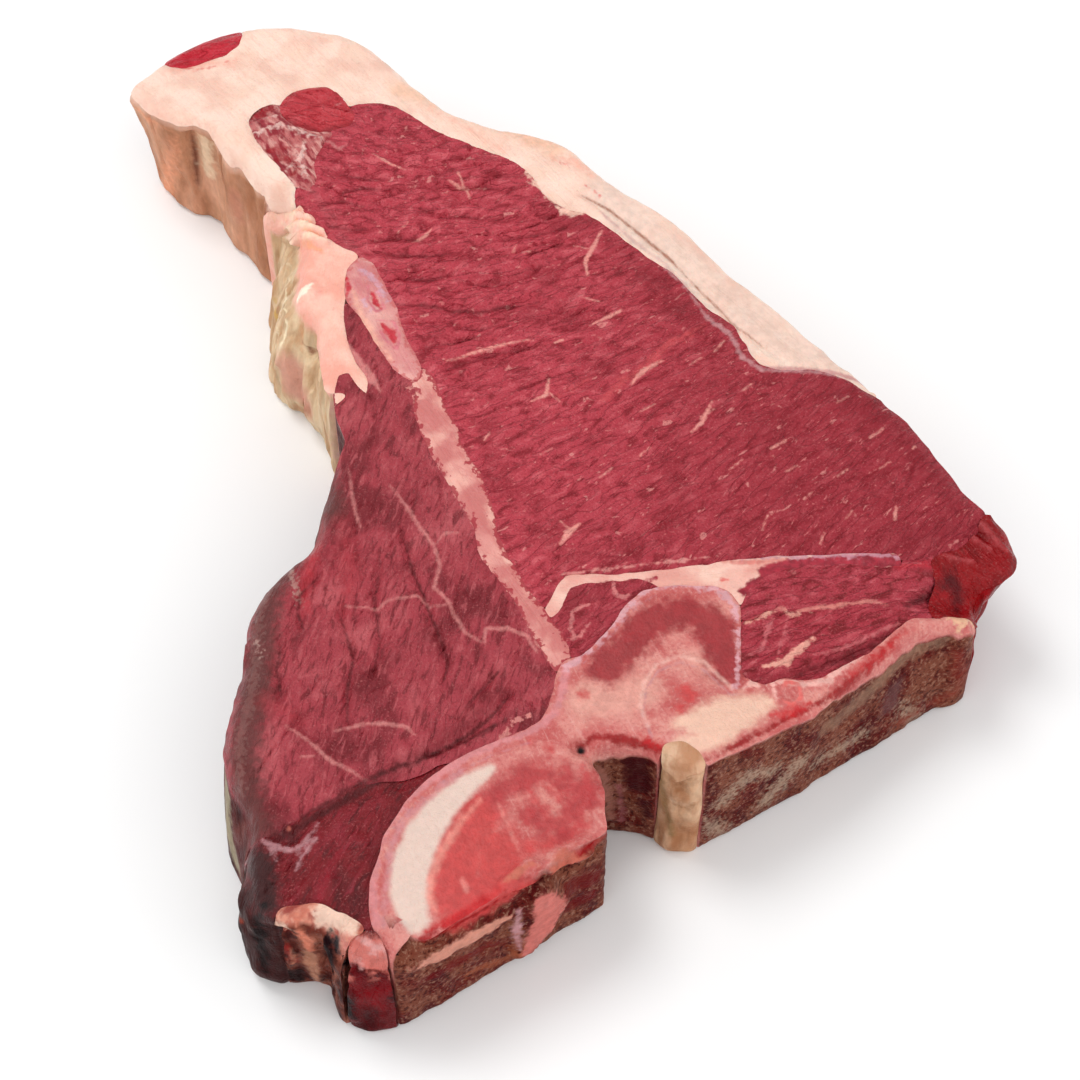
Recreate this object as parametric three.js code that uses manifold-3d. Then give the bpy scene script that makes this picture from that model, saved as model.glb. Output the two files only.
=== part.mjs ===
// Raw T-bone steak, lying on a flat face. Millimetres, +Z up.
// Every muscle, layer of fat and bone is its own solid and runs through the whole thickness of the cut.
// Outlines are drawn as seen from above: x to the right, y away from the bone, both on the cut face.
import * as THREE from "three";
import { mergeVertices } from "three/addons/utils/BufferGeometryUtils.js";
import Module from "manifold-3d";

// Driving dimensions
const THICKNESS = 35;            // height of the cut face above the face that it lies on
const CENTRE = { x: 0.5, y: 29 };  // middle of the outline, which becomes the origin
const GAP = 0.3;                 // clearance between neighbouring tissues
const FOOT_ROUND = 1.5;          // rounding of the lower edge
const WALL_LEVELS = [0.3, 0.62]; // heights of the rings in the wall, as shares of the thickness
const LEAN_POWER = 1.6;          // how far up the wall stays out where its foot stands proud
const RIM_SHARE = 0.3;           // place of the middle ring of the rounded rim
const EDGE_STEP = 4;             // spacing of the points along the outer edge
const SEAM_STEP = 4;             // spacing of the points along the boundaries inside
const FACE_STEP = 6;             // spacing of the points that carry the relief of the cut face
const FACE_SINK = 0.3;           // how far the cut face lies below the top of the rim
const BLOCK = { width: 240, depth: 288, height: 40 };  // block that carries the relief
const OVER = 20;                 // how far the cutting prisms run past both faces
const WELD = 1e-4;               // distance at which the corners of a mesh count as one

// Outer edge of the cut face, anticlockwise. Each point: x, y, how far the foot of the wall stands
// out beyond the rim, and the rounding of the rim. A new run starts at a sharp corner.
const OUTER_EDGE = [
  // fat end, kidney fat and the tenderloin's side
  [[-102, 136, -4, 4], [-96, 128, -2, 3], [-91, 124, -1, 3], [-86, 121, 0, 3], [-80, 118, 0, 3],
    [-76, 112, 1, 3], [-72, 107, 1, 3], [-67, 103, 2, 3], [-63, 99, 5, 3], [-59, 94, 8, 3],
    [-57, 87, 10, 3], [-57, 79, 9, 3], [-57, 72, 9, 3], [-55, 65, 7, 3], [-52, 59, 4, 3],
    [-50, 52, 1, 2], [-49, 45, 0, 2], [-47, 37, 0, 2], [-44, 29, 0, 2], [-44, 23, 0, 2],
    [-46, 15, 1, 3], [-48, 7, 1, 3], [-49, 1, 1, 3], [-54, -6, 1, 3], [-59, -12, 1, 3],
    [-62, -20, 1, 3], [-62, -30, 1, 3], [-64, -41, 1, 3], [-65, -50, 2, 3], [-63, -57, 3, 3],
    [-60, -64, 4, 3], [-59, -72, 4, 3], [-58, -79, 4, 3], [-57, -84, 2, 3]],
  // lower end with its loose fat and flap
  [[-57, -84, 2, 3], [-54, -87, 0, 3], [-48, -88, 0, 3], [-44, -88, 0, 2], [-41, -90, 2, 2],
    [-39, -93, 4, 2], [-35, -95, 3, 2], [-30, -95, 3, 2], [-27, -96, 1, 1]],
  // sawn face of the vertebral body
  [[-27, -96, 0, 1], [13, -70, 0, 1]],
  // spinal canal, cut open
  [[13, -70, 0, 1], [13, -63, 0, 1], [12, -57, 0, 1], [10, -52, 1, 1]],
  [[10, -52, 1, 1], [15, -50, 2, 1], [21, -51, 2, 1], [25, -53, 1, 1], [28, -56, 1, 1],
    [32, -57, 0, 1]],
  // sawn face of the spinous process
  [[32, -57, 0, 1], [44, -50, 0, 1], [57, -42, 0, 1], [64, -36, 1, 1], [70, -31, 2, 1],
    [76, -26, 3, 1], [82, -22, 3, 1], [88, -21, 1, 1], [91, -21, 0, 1]],
  // torn flap at the right end, the bare side of the eye muscle and the fat cap
  [[91, -21, 0, 1], [93, -17, 2, 2], [93, -13, 0, 2], [96, -10, -3, 2], [100, -8, -6, 2],
    [103, -5, -8, 2], [102, 1, -7, 2], [100, 6, -5, 2], [97, 9, -2, 2], [94, 11, 0, 3],
    [91, 16, 0, 3], [88, 21, 0, 3], [85, 27, 0, 3], [81, 33, 0, 3], [77, 37, 0, 3],
    [74, 42, 0, 3], [67, 50, 0, 3], [59, 59, 0, 3], [51, 68, 0, 3], [44, 75, 0, 3],
    [39, 82, 0, 3], [34, 89, 0, 3], [28, 95, 0, 3], [20, 101, 0, 3], [15, 105, 0, 3],
    [12, 109, 0, 3], [9, 113, 0, 3], [4, 117, 0, 3], [-4, 120, 0, 3], [-12, 122, 0, 3],
    [-19, 125, 0, 3], [-25, 129, 0, 3], [-30, 134, 0, 3], [-35, 140, 0, 3], [-40, 147, 0, 4],
    [-46, 152, 0, 4], [-56, 155, 0, 4], [-68, 156, 0, 4], [-80, 153, 0, 4], [-90, 148, -1, 4],
    [-98, 142, -3, 4], [-102, 136, -4, 4]],
];

// Upright folds in the wall: x, y of the middle on the outer edge, half width, depth
const WALL_FOLDS = [
  [-83, 120, 3, 3],
  [-73, 108, 5, 2],
  [-61, 97, 4, 3],
  [-57, 83, 3, 2],
  [-57, 75, 3, 1.5],
  [-53, 61, 3, 2],
  [-47, 36, 4, 1],
  [-50, -1, 4, 1],
  [-60, -68, 4, 1.5],
  [-48, -88, 3, 1],
  [-42, -89, 3, 1],
];

// Swells and hollows of the cut face: x, y of the middle, reach, rise
const FACE_SWELLS = [
  [-68, 114, 24, 2.5],   // thick fat end
  [-96, 140, 14, -2.5],  // its drooping corner
  [18, 30, 40, 1.2],     // crown of the eye muscle
  [-30, -15, 26, 0.8],   // crown of the tenderloin
  [33, -50, 11, 3],      // bone beside the ligament
  [66, -12, 14, -1.2],   // back muscles, shrunk a little below the bone
  [89, -13, 6, -7],      // hollow behind the torn flap
  [98, -1, 9, -3],       // torn flap
  [-52, -84, 10, -4],    // dried lower end
  [-33, -95, 8, -5],     // hanging flap
  [-58, -64, 10, -2],    // slack skin beside the lower muscle
  [-56, 80, 10, -1],     // loose kidney fat
];

// Outlines of the tissues, in the order in which they claim their place. A later outline runs on
// underneath an earlier one, so each boundary is drawn once, by the tissue that comes first.
const TISSUES = {
  ligament: {
    colour: 0xd9be92, roughness: 0.5,
    edge: [[25, -51], [30, -51], [33, -55], [34, -61], [27, -62], [25, -57]],
  },
  finger_bone: {
    colour: 0xd9a4b0, roughness: 0.45,
    edge: [[-42, 80], [-40, 79], [-38, 76], [-35, 69], [-32, 61], [-30, 54], [-27, 49], [-27, 44],
      [-29, 43], [-33, 47], [-36, 52], [-39, 58], [-42, 63], [-45, 68], [-45, 74], [-44, 78]],
  },
  vertebra: {
    colour: 0xd9938a, roughness: 0.5,
    edge: [[5, -30], [9, -29], [13, -25], [17, -19], [21, -14], [26, -12], [32, -12], [38, -12],
      [42, -15], [42, -22], [42, -29], [42, -34], [46, -37], [50, -35], [57, -35], [63, -32],
      [69, -28], [75, -22], [81, -19], [87, -19], [93, -18], [102, -20], [98, -34], [60, -62],
      [30, -80], [0, -94], [-22, -110], [-26, -103], [-29, -96], [-33, -89], [-33, -80],
      [-31, -72], [-27, -64], [-21, -57], [-14, -52], [-7, -49], [-1, -46], [2, -42], [3, -37],
      [4, -32]],
  },
  seam_fat: {
    colour: 0xeaa79c, roughness: 0.4,
    edge: [[-26, 47], [-24, 44], [-22, 38], [-19, 31], [-17, 24], [-13, 17], [-11, 10], [-10, 4],
      [-8, -2], [-5, -8], [-2, -14], [1, -18], [4, -23], [6, -28], [6, -34], [3, -33], [0, -27],
      [-3, -22], [-6, -15], [-9, -10], [-13, -4], [-14, 2], [-17, 8], [-20, 15], [-24, 22],
      [-26, 28], [-28, 34], [-28, 40], [-30, 45], [-29, 48]],
  },
  facet_fat: {
    colour: 0xecc4b4, roughness: 0.4,
    edge: [[0, -19], [3, -14], [5, -9], [12, -9], [24, -8], [31, -7], [38, -6], [46, -5],
      [56, -4], [66, -3], [78, -4], [78, -6], [66, -5], [56, -6], [50, -8], [45, -11], [42, -17],
      [36, -14], [30, -13], [25, -12], [24, -10], [12, -11], [7, -11], [5, -14], [3, -20]],
  },
  kidney_fat: {
    colour: 0xe9c2a4, roughness: 0.45,
    edge: [[-74, 104], [-66, 100], [-60, 97], [-56, 94], [-51, 87], [-47, 83], [-43, 81],
      [-42, 78], [-44, 74], [-45, 68], [-45, 62], [-44, 56], [-42, 50], [-39, 44], [-38, 40],
      [-40, 40], [-42, 44], [-44, 47], [-46, 45], [-46, 39], [-45, 32], [-43, 26], [-45, 22],
      [-56, 28], [-70, 55], [-78, 80], [-78, 98]],
  },
  end_flap: {
    colour: 0x8c2027, roughness: 0.3,
    edge: [[-37, -92], [-33, -90], [-29, -92], [-25, -98], [-22, -112], [-42, -112], [-39, -98]],
  },
  end_fat: {
    colour: 0xd9a98c, roughness: 0.45,
    edge: [[-51, -85], [-46, -85], [-42, -86], [-38, -88], [-34, -90], [-33, -100], [-36, -112],
      [-52, -112], [-54, -94]],
  },
  side_flap: {
    colour: 0x8f1426, roughness: 0.25,
    edge: [[84, -20], [83, -14], [85, -8], [84, -4], [89, -2], [94, 2], [98, 9], [112, 8],
      [112, -24], [94, -26]],
  },
  seam_muscle: {
    colour: 0xa53a48, roughness: 0.4,
    edge: [[-1, -21], [2, -16], [5, -10], [12, -10], [24, -9], [28, -13], [20, -18], [13, -29],
      [4, -32]],
  },
  back_muscle_upper: {
    colour: 0xa32f40, roughness: 0.4,
    edge: [[40, -14], [47, -7], [56, -5], [66, -4], [78, -5], [88, -4], [90, -12], [82, -17],
      [76, -17], [70, -16], [60, -17], [53, -18], [49, -17], [45, -20], [39, -20]],
  },
  back_muscle_lower: {
    colour: 0x9c2e3d, roughness: 0.4,
    edge: [[39, -16], [60, -12], [80, -13], [88, -16], [84, -24], [66, -38], [44, -42], [38, -34]],
  },
  tail_muscle: {
    colour: 0x9e2534, roughness: 0.35,
    edge: [[-63, 124], [-62, 129], [-57, 132], [-52, 133], [-49, 131], [-48, 128], [-45, 126],
      [-45, 121], [-49, 119], [-54, 117], [-58, 119], [-61, 121]],
  },
  tail_seam_fat: {
    colour: 0xd98d88, roughness: 0.4,
    edge: [[-70, 121], [-67, 126], [-63, 127], [-60, 122], [-56, 119], [-50, 118], [-53, 112],
      [-54, 106], [-53, 101], [-56, 99], [-60, 103], [-64, 108], [-67, 112], [-69, 117]],
  },
  flank_muscle: {
    colour: 0xb02f3c, roughness: 0.35,
    edge: [[-92, 143], [-86, 142], [-80, 144], [-75, 147], [-74, 152], [-80, 160], [-94, 156]],
  },
  tenderloin: {
    colour: 0x8d333c, roughness: 0.45,
    edge: [[-44, 66], [-40, 64], [-34, 55], [-28, 45], [-26, 36], [-22, 26], [-18, 16], [-13, 6],
      [-11, -2], [-4, -15], [2, -25], [4, -32], [5, -40], [0, -50], [-14, -54], [-20, -54],
      [-26, -58], [-32, -58], [-37, -59], [-42, -63], [-48, -66], [-54, -70], [-62, -72],
      [-76, -70], [-76, -40], [-72, -15], [-60, 0], [-56, 16], [-52, 28], [-50, 48], [-48, 62]],
  },
  lower_muscle: {
    colour: 0x84262f, roughness: 0.4,
    edge: [[-16, -48], [-10, -60], [-16, -80], [-26, -104], [-62, -104], [-78, -90], [-78, -64],
      [-58, -60], [-36, -50]],
  },
  loin_muscle: {
    colour: 0xa52d3d, roughness: 0.4,
    edge: [[-58, 97], [-57, 103], [-56, 113], [-50, 120], [-47, 126], [-41, 128], [-35, 127],
      [-30, 123], [-25, 119], [-19, 116], [-12, 112], [-6, 109], [-2, 104], [1, 98], [6, 94],
      [12, 92], [16, 88], [21, 83], [26, 78], [31, 74], [35, 68], [39, 63], [43, 60], [46, 54],
      [49, 48], [54, 46], [60, 46], [66, 45], [71, 42], [76, 39], [88, 36], [108, 14],
      [98, -6], [78, -5], [66, -4], [56, -5], [46, -6], [24, -9], [12, -10], [6, -10], [3, -15],
      [1, -22], [-3, -16], [-8, -7], [-12, 2], [-14, 10], [-18, 19], [-23, 28], [-26, 38],
      [-29, 48], [-33, 57], [-40, 70], [-44, 80], [-50, 86], [-55, 92]],
  },
  fat_cap: {
    colour: 0xf3d3bd, roughness: 0.4,
    edge: null,          // whatever the others leave
  },
};

const wasm = await Module();
wasm.setup();

// Evenly spaced points along a spline through the given places, without its last one
function alongSpline(places, closed, step) {
  const corners = places.map(([x, y]) => new THREE.Vector3(x, y, 0));
  const curve = new THREE.CatmullRomCurve3(corners, closed, "centripetal");
  return curve.getSpacedPoints(Math.round(curve.getLength() / step)).slice(0, -1);
}

// Points along a closed outline, anticlockwise
function alongLoop(outline) {
  const loop = alongSpline(outline, true, SEAM_STEP);
  return THREE.ShapeUtils.isClockWise(loop) ? loop.reverse() : loop;
}

// Lean and rounding at a place on a run, blended between its two nearest points
function blendOf(run, place) {
  const [near, next] = run
    .map(([x, y, lean, round]) => ({ lean, round, far: Math.hypot(place.x - x, place.y - y) }))
    .sort((a, b) => a.far - b.far);
  const t = near.far / (near.far + next.far);
  return {
    lean: THREE.MathUtils.lerp(near.lean, next.lean, t),
    round: THREE.MathUtils.lerp(near.round, next.round, t),
  };
}

// Sum of round swells at a place
function swell(list, x, y) {
  return list.reduce((sum, [sx, sy, reach, rise]) =>
    sum + rise * Math.exp(-((x - sx) ** 2 + (y - sy) ** 2) / reach ** 2), 0);
}

// Height of the cut face
function faceHeight(x, y) {
  return THICKNESS + swell(FACE_SWELLS, x, y);
}

// Outward normals of an anticlockwise loop, longer at a corner so that an offset keeps its width
function outwardNormals(loop) {
  const narrowest = 0.6;
  return loop.map((point, i) => {
    const before = loop[(i + loop.length - 1) % loop.length];
    const after = loop[(i + 1) % loop.length];
    const arriving = new THREE.Vector2(point.x - before.x, point.y - before.y).normalize();
    const leaving = new THREE.Vector2(after.x - point.x, after.y - point.y).normalize();
    const normal = new THREE.Vector2(arriving.y + leaving.y, -arriving.x - leaving.x).normalize();
    const cosine = normal.dot(new THREE.Vector2(arriving.y, -arriving.x));
    return normal.divideScalar(Math.max(narrowest, cosine));
  });
}

// A loop moved outwards by a distance
function grown(loop, distance) {
  const normals = outwardNormals(loop);
  return loop.map((p, i) => normals[i].multiplyScalar(distance).add(p));
}

// A closed three.js geometry as a solid that can be joined and cut
function solidOf(geometry) {
  geometry.deleteAttribute("normal");
  geometry.deleteAttribute("uv");
  const merged = mergeVertices(geometry, WELD);
  return new wasm.Manifold(new wasm.Mesh({
    numProp: 3,
    vertProperties: Float32Array.from(merged.attributes.position.array),
    triVerts: Uint32Array.from(merged.index.array),
  }));
}

// Upright prism over a loop, through the whole steak
function prism(loop) {
  const shape = new THREE.Shape(loop.map((p) => new THREE.Vector2(p.x, p.y)));
  const geometry = new THREE.ExtrudeGeometry(shape, { depth: THICKNESS + 2 * OVER, bevelEnabled: false });
  geometry.translate(0, 0, -OVER);
  return solidOf(geometry);
}

// How far a ring of the wall stands out and how high it lies, from the foot to above the rim
function wallRings(p, top) {
  const leaning = (share) => [top * share, p.lean * (1 - share ** LEAN_POWER)];
  return [
    [0, p.lean - FOOT_ROUND],
    [FOOT_ROUND, p.lean],
    ...WALL_LEVELS.map(leaning),
    [top - p.round, 0],
    [top - p.round * RIM_SHARE, -p.round * RIM_SHARE],
    [top, -p.round],
    [top + OVER, -p.round],
  ];
}

// Steak without its cut face: rings of wall over the outer edge, closed by two lids
function wallSolid() {
  const edge = OUTER_EDGE.flatMap((run) =>
    alongSpline(run, false, EDGE_STEP).map(({ x, y }) => ({ x, y, ...blendOf(run, { x, y }) })));
  const normals = outwardNormals(edge);
  const columns = edge.map((p, i) => wallRings(p, faceHeight(p.x, p.y)).map(([z, out]) => {
    const drawn = out - swell(WALL_FOLDS, p.x, p.y);
    return new THREE.Vector3(p.x + normals[i].x * drawn, p.y + normals[i].y * drawn, z);
  }));
  const rings = columns[0].map((_, k) => columns.map((column) => column[k]));
  const around = edge.length;
  const index = [];
  for (let k = 0; k + 1 < rings.length; k++) {
    for (let i = 0; i < around; i++) {
      const a = k * around + i;
      const b = k * around + (i + 1) % around;
      index.push(a, b, b + around, a, b + around, a + around);
    }
  }
  const lid = (ring) => THREE.ShapeUtils.triangulateShape(ring, []);
  const upper = (rings.length - 1) * around;
  for (const [a, b, c] of lid(rings[0])) index.push(c, b, a);
  for (const [a, b, c] of lid(rings.at(-1))) index.push(upper + a, upper + b, upper + c);
  const geometry = new THREE.BufferGeometry().setFromPoints(rings.flat());
  geometry.setIndex(index);
  return solidOf(geometry);
}

// Block whose upper side carries the relief of the cut face
function faceSolid() {
  const { width, depth, height } = BLOCK;
  const block = new THREE.BoxGeometry(width, depth, height, width / FACE_STEP, depth / FACE_STEP, 1);
  block.translate(CENTRE.x, CENTRE.y, 0);
  const at = block.attributes.position;
  for (let i = 0; i < at.count; i++) {
    if (at.getZ(i) > 0) at.setZ(i, faceHeight(at.getX(i), at.getY(i)) - FACE_SINK);
  }
  return solidOf(block);
}

// The largest of a solid's separate lumps
function mainLump(solid) {
  return solid.decompose().sort((a, b) => b.volume() - a.volume())[0];
}

// A solid as a named three.js mesh
function meshOf(name, solid, { colour, roughness }) {
  const { vertProperties, triVerts } = solid.getMesh();
  const geometry = new THREE.BufferGeometry();
  geometry.setAttribute("position", new THREE.BufferAttribute(vertProperties, 3));
  geometry.setIndex(Array.from(triVerts));
  geometry.computeVertexNormals();
  const finish = new THREE.MeshStandardMaterial({ color: colour, roughness, metalness: 0 });
  const mesh = new THREE.Mesh(geometry, finish);
  mesh.name = name;
  return mesh;
}

const steak = new THREE.Group();
steak.position.set(-CENTRE.x, -CENTRE.y, 0);
let rest = wallSolid().intersect(faceSolid());
for (const [name, tissue] of Object.entries(TISSUES)) {
  let solid = rest;
  if (tissue.edge) {
    const loop = alongLoop(tissue.edge);
    solid = rest.intersect(prism(loop));
    rest = rest.subtract(prism(grown(loop, GAP)));
  }
  steak.add(meshOf(name, mainLump(solid), tissue));
}

export default steak;
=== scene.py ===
# Looks of a raw T-bone steak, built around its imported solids.
# Every tissue becomes a fine mesh of its own: a sheet for the cut face, a wall and an underside.
# Marks such as veins, creases and blood are strokes. Their pixels are those of the 1080 by 1080
# photograph, and each stroke is cast along the camera's rays onto the solids.
import math

import bpy
import numpy as np
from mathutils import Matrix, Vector
from mathutils.bvhtree import BVHTree
from mathutils.geometry import delaunay_2d_cdt


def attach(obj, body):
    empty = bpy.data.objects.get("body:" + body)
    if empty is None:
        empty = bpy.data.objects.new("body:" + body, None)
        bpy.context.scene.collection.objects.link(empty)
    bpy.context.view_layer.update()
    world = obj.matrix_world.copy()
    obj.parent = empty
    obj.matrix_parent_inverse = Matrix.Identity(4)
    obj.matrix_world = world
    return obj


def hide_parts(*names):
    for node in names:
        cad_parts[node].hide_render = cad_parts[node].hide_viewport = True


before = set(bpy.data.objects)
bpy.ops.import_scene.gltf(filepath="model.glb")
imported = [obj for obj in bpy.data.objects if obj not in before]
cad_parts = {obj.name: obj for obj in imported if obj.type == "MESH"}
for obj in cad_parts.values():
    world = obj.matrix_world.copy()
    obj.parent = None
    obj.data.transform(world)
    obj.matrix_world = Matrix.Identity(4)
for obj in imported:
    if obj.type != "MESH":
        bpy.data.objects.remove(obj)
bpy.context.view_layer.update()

# Sizes in millimetres. The plan's origin is the point that the camera looks at.
MM = 0.001
PLAN_CENTRE = np.array([0.5, 29.0])  # middle of the steak in the plan, the origin of the frame
THICKNESS = 35.0                     # height of the cut face
WELD = 0.01                          # corners of a solid closer than this are one
AT_ONCE = 4000                       # points whose distances are worked out in one go

# Camera, and the photograph that it repeats
PHOTO_PIXELS = 1080
SENSOR = 36.0
LENS = 85.0
VIEW_DOWN = math.radians(56)         # how far the camera looks down
VIEW_DISTANCE = 548.4                # from the camera to the middle of the cut face

# Meshes
STEP = 0.55                          # spacing of the points on the cut face and along the walls
WALL_ROWS = 30                       # rings of points in a wall
UNDER_STEP = 4.0                     # spacing of the points on the underside
SLICE_HEIGHT = 18.0                  # height at which a solid's outline is read
EDGE_BLUR = 0.7                      # smoothing of the outline along itself
NORMAL_BLUR = 0.8                    # smoothing of the outline's directions
WALL_BLUR = 1.2                      # smoothing of what is felt of the wall
RIM_BLUR = 1.0                       # smoothing of the height felt along the rim
RIM_FADE = 0.08                      # share of the wall over which its relief sets in
FOOT_FADE = (-1, 3)                  # heights over which relief sets in above the ground
CLOSING = 0.28                       # how far each tissue grows to close the gap to its neighbour
NEIGHBOUR = 1.1                      # a wall with another tissue closer than this is an inner one
WALL_SHARES = (0.05, 0.2, 0.4, 0.6, 0.8, 0.92, 1.0)  # heights at which the solid's wall is felt
WALL_REACH = 14.0                    # how far from the outline the wall may lie
INSET = 1.0                          # the wall is felt from this far inside
RIM_DEPTHS = (2, 4, 6, 9, 12)        # how far inside the outline the height of the face is felt
FACE_CELL = 0.75                     # cells of the map of the cut face
FACE_BLUR = 1.1                      # smoothing of that map
FACE_DEPTH = 8.0                     # how far below the cut face a place still belongs to it
FOOT_ROUND = 0.8                     # rounding of the lower edge
SHARP_ANGLE = math.radians(48)
MARK_REACH = 8.0                     # distances to strokes are kept up to here
GROOVE = 0.22                        # depth of the line between two tissues
FACING_SHARE = 0.9                   # how much of the distance in the way a surface faces is left out
FIBRE_WARP = 1.4                     # how far the fibres of the relief stray
RAG_GAIN = 4                         # a ragged edge strays by this times noise from -0.5 to 0.5

# Light on the cut face: how much of a white surface's light it gives, and what its gloss adds
LIGHT = 1.12
GLOSS_LIGHT = 0.012
WORLD_LIGHT = (1.16, 0.45)           # all round, and in the mirror direction
PATCHY = 0.1                         # how much the roughness varies
GLOW_RADIUS = (1.0, 0.3, 0.2)        # how far red, green and blue light spread under the surface
GLOW_DEPTH = 1.5                     # in mm
SIDE_GLOSS = 0.12                    # gloss of the walls against that of the cut face

# Studio, in metres and watts: the floor, and each light's place, size and power
FLOOR_HALF = 3.0
FLOOR_DROP = 0.0002                  # keeps the floor just under the steak
FLOOR_WHITE = 0.88
FLOOR_ROUGHNESS = 0.8
LIGHTS = {
    "key": ((-0.42, 0.3, 1.2), 0.5, 6.5),
    "fill": ((0.8, -0.7, 0.9), 1.2, 2),
}
DIMMED = (0.55, 0.9)                 # likeness to the mirror direction, from plain to fully dimmed

# Fibres of the large muscle: the middle of it, how they lie there, and how they turn across it
FIBRE_CENTRE = np.array([25.0, 25.0])
FIBRE_ANGLE = math.radians(36)
FIBRE_TURN = math.radians(0.26)      # for each mm towards its right end
TURN_TOWARDS = np.array([0.75, -0.66])


# Noise

def lattice(ix, iy, iz, seed):
    """Random numbers from -1 to 1, fixed for each whole-numbered place."""
    mask = 0xFFFFFFFF
    mixed = (ix * 374761393 + iy * 668265263 + iz * 1440670441 + seed * 1274126177) & mask
    mixed = ((mixed ^ (mixed >> 13)) * 1103515245) & mask
    mixed = ((mixed ^ (mixed >> 16)) * 362437) & mask
    return (mixed >> 8 & 0xFFFF) / 32767.5 - 1


def noise(places, size, seed=0):
    """Smooth noise from -1 to 1 at places in mm. Size is that of its grains, one or one per axis."""
    scaled = places / np.asarray(size, float) + 0.37 * seed
    base = np.floor(scaled).astype(np.int64)
    part = scaled - base
    part = part * part * part * (part * (part * 6 - 15) + 10)
    total = np.zeros(len(places))
    for corner in range(8):
        step = np.array([corner & 1, corner >> 1 & 1, corner >> 2 & 1])
        weight = np.prod(np.where(step, part, 1 - part), axis=1)
        total += weight * lattice(*(base + step).T, seed)
    return total


def rough_noise(places, size, octaves, seed=0):
    """Noise with finer and finer grains on top."""
    size = np.asarray(size, float)
    parts = [noise(places, size / 2 ** k, seed + k) / 2 ** k for k in range(octaves)]
    return sum(parts) / (2 - 2 ** (1 - octaves))


def ridges(places, size, seed=0):
    """Sharp crests, from 0 in the valleys to 1 on the crests."""
    return 1 - np.abs(rough_noise(places, size, 2, seed)) * 2


def ramp(values, low, high):
    """0 below low, 1 above high, and a smooth rise between them."""
    t = np.clip((values - low) / (high - low), 0, 1)
    return t * t * (3 - 2 * t)


# Reading the solids

def corners_of(mesh):
    """Corners in plan mm and triangles of a solid, with doubled corners joined."""
    corners = np.array([v.co for v in mesh.vertices]) / MM
    corners[:, :2] += PLAN_CENTRE
    _, first, joined = np.unique(
        np.round(corners / WELD).astype(np.int64), axis=0, return_index=True, return_inverse=True)
    mesh.calc_loop_triangles()
    triangles = np.array([t.vertices for t in mesh.loop_triangles])
    return corners[first], joined.ravel()[triangles]


SOLIDS = {name: corners_of(node.data) for name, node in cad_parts.items()}


def tree_of(solids):
    """A tree for casting rays at one or more solids."""
    corners, triangles, start = [], [], 0
    for points, faces in solids:
        corners.extend(points.tolist())
        triangles.extend((faces + start).tolist())
        start += len(points)
    return BVHTree.FromPolygons(corners, triangles)


STEAK = tree_of(SOLIDS.values())


def pixel_ray(u, v):
    """The camera's place and the direction in which it sees a pixel, in plan mm."""
    ahead = Vector((0, math.cos(VIEW_DOWN), -math.sin(VIEW_DOWN)))
    above = Vector((0, math.sin(VIEW_DOWN), math.cos(VIEW_DOWN)))
    focal = LENS / SENSOR * PHOTO_PIXELS
    right = (u - PHOTO_PIXELS / 2) / focal
    up = (PHOTO_PIXELS / 2 - v) / focal
    eye = Vector((0, 0, THICKNESS)) - ahead * VIEW_DISTANCE
    return eye, (ahead + Vector((1, 0, 0)) * right + above * up).normalized()


def on_steak(u, v):
    """The place on the steak that the camera shows at a pixel: on the cut face or on a wall."""
    eye, direction = pixel_ray(u, v)
    height = THICKNESS
    for _ in range(4):
        place = eye + direction * ((height - eye.z) / direction.z)
        height = FACE.at(np.array([place[:2]]))[0]
        if height < THICKNESS - FACE_DEPTH:
            break
    else:
        above = Vector((place.x, place.y, 2 * THICKNESS))
        below = STEAK.ray_cast(above, Vector((0, 0, -1)))[0]
        if below is not None and below.z > THICKNESS - FACE_DEPTH:
            return np.array(place)
    hit = STEAK.ray_cast(eye, direction)[0]
    return np.array(place if hit is None else hit)


def slice_loop(corners, triangles, height):
    """The longest loop in which a solid meets a level plane."""
    above = corners[:, 2] > height
    links, places = {}, {}
    crossing = above[triangles].sum(axis=1) % 3 != 0
    for triangle in triangles[crossing].tolist():
        ends = []
        for a, b in zip(triangle, triangle[1:] + triangle[:1]):
            if above[a] != above[b]:
                low, high = sorted((a, b))
                t = (height - corners[low, 2]) / (corners[high, 2] - corners[low, 2])
                places[low, high] = corners[low, :2] * (1 - t) + corners[high, :2] * t
                ends.append((low, high))
        links.setdefault(ends[0], []).append(ends[1])
        links.setdefault(ends[1], []).append(ends[0])
    loops, left = [], dict.fromkeys(links)
    while left:
        here = next(iter(left))
        loop = []
        while here is not None:
            loop.append(here)
            del left[here]
            here = next((n for n in links[here] if n in left), None)
        loops.append(np.array([places[key] for key in loop]))
    return max(loops, key=lambda loop: np.linalg.norm(np.diff(loop, axis=0), axis=1).sum())


def resampled(loop):
    """A closed loop as evenly spaced points, anticlockwise."""
    closed = np.vstack([loop, loop[:1]])
    x, y = closed.T
    if np.sum(x[:-1] * y[1:] - x[1:] * y[:-1]) < 0:
        closed = closed[::-1]
    along = np.concatenate([[0], np.cumsum(np.linalg.norm(np.diff(closed, axis=0), axis=1))])
    count = int(along[-1] / STEP)
    where = np.arange(count) * along[-1] / count
    return np.stack([np.interp(where, along, closed[:, k]) for k in (0, 1)], axis=1)


def smoothed(rows, spread):
    """The rows of a closed loop, each blurred with its neighbours over a distance in mm."""
    reach = int(3 * spread / STEP) + 1
    shifts = np.arange(-reach, reach + 1)
    weights = np.exp(-0.5 * (shifts * STEP / spread) ** 2)
    weights /= weights.sum()
    return sum(w * np.roll(rows, k, axis=0) for k, w in zip(shifts, weights))


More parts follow.
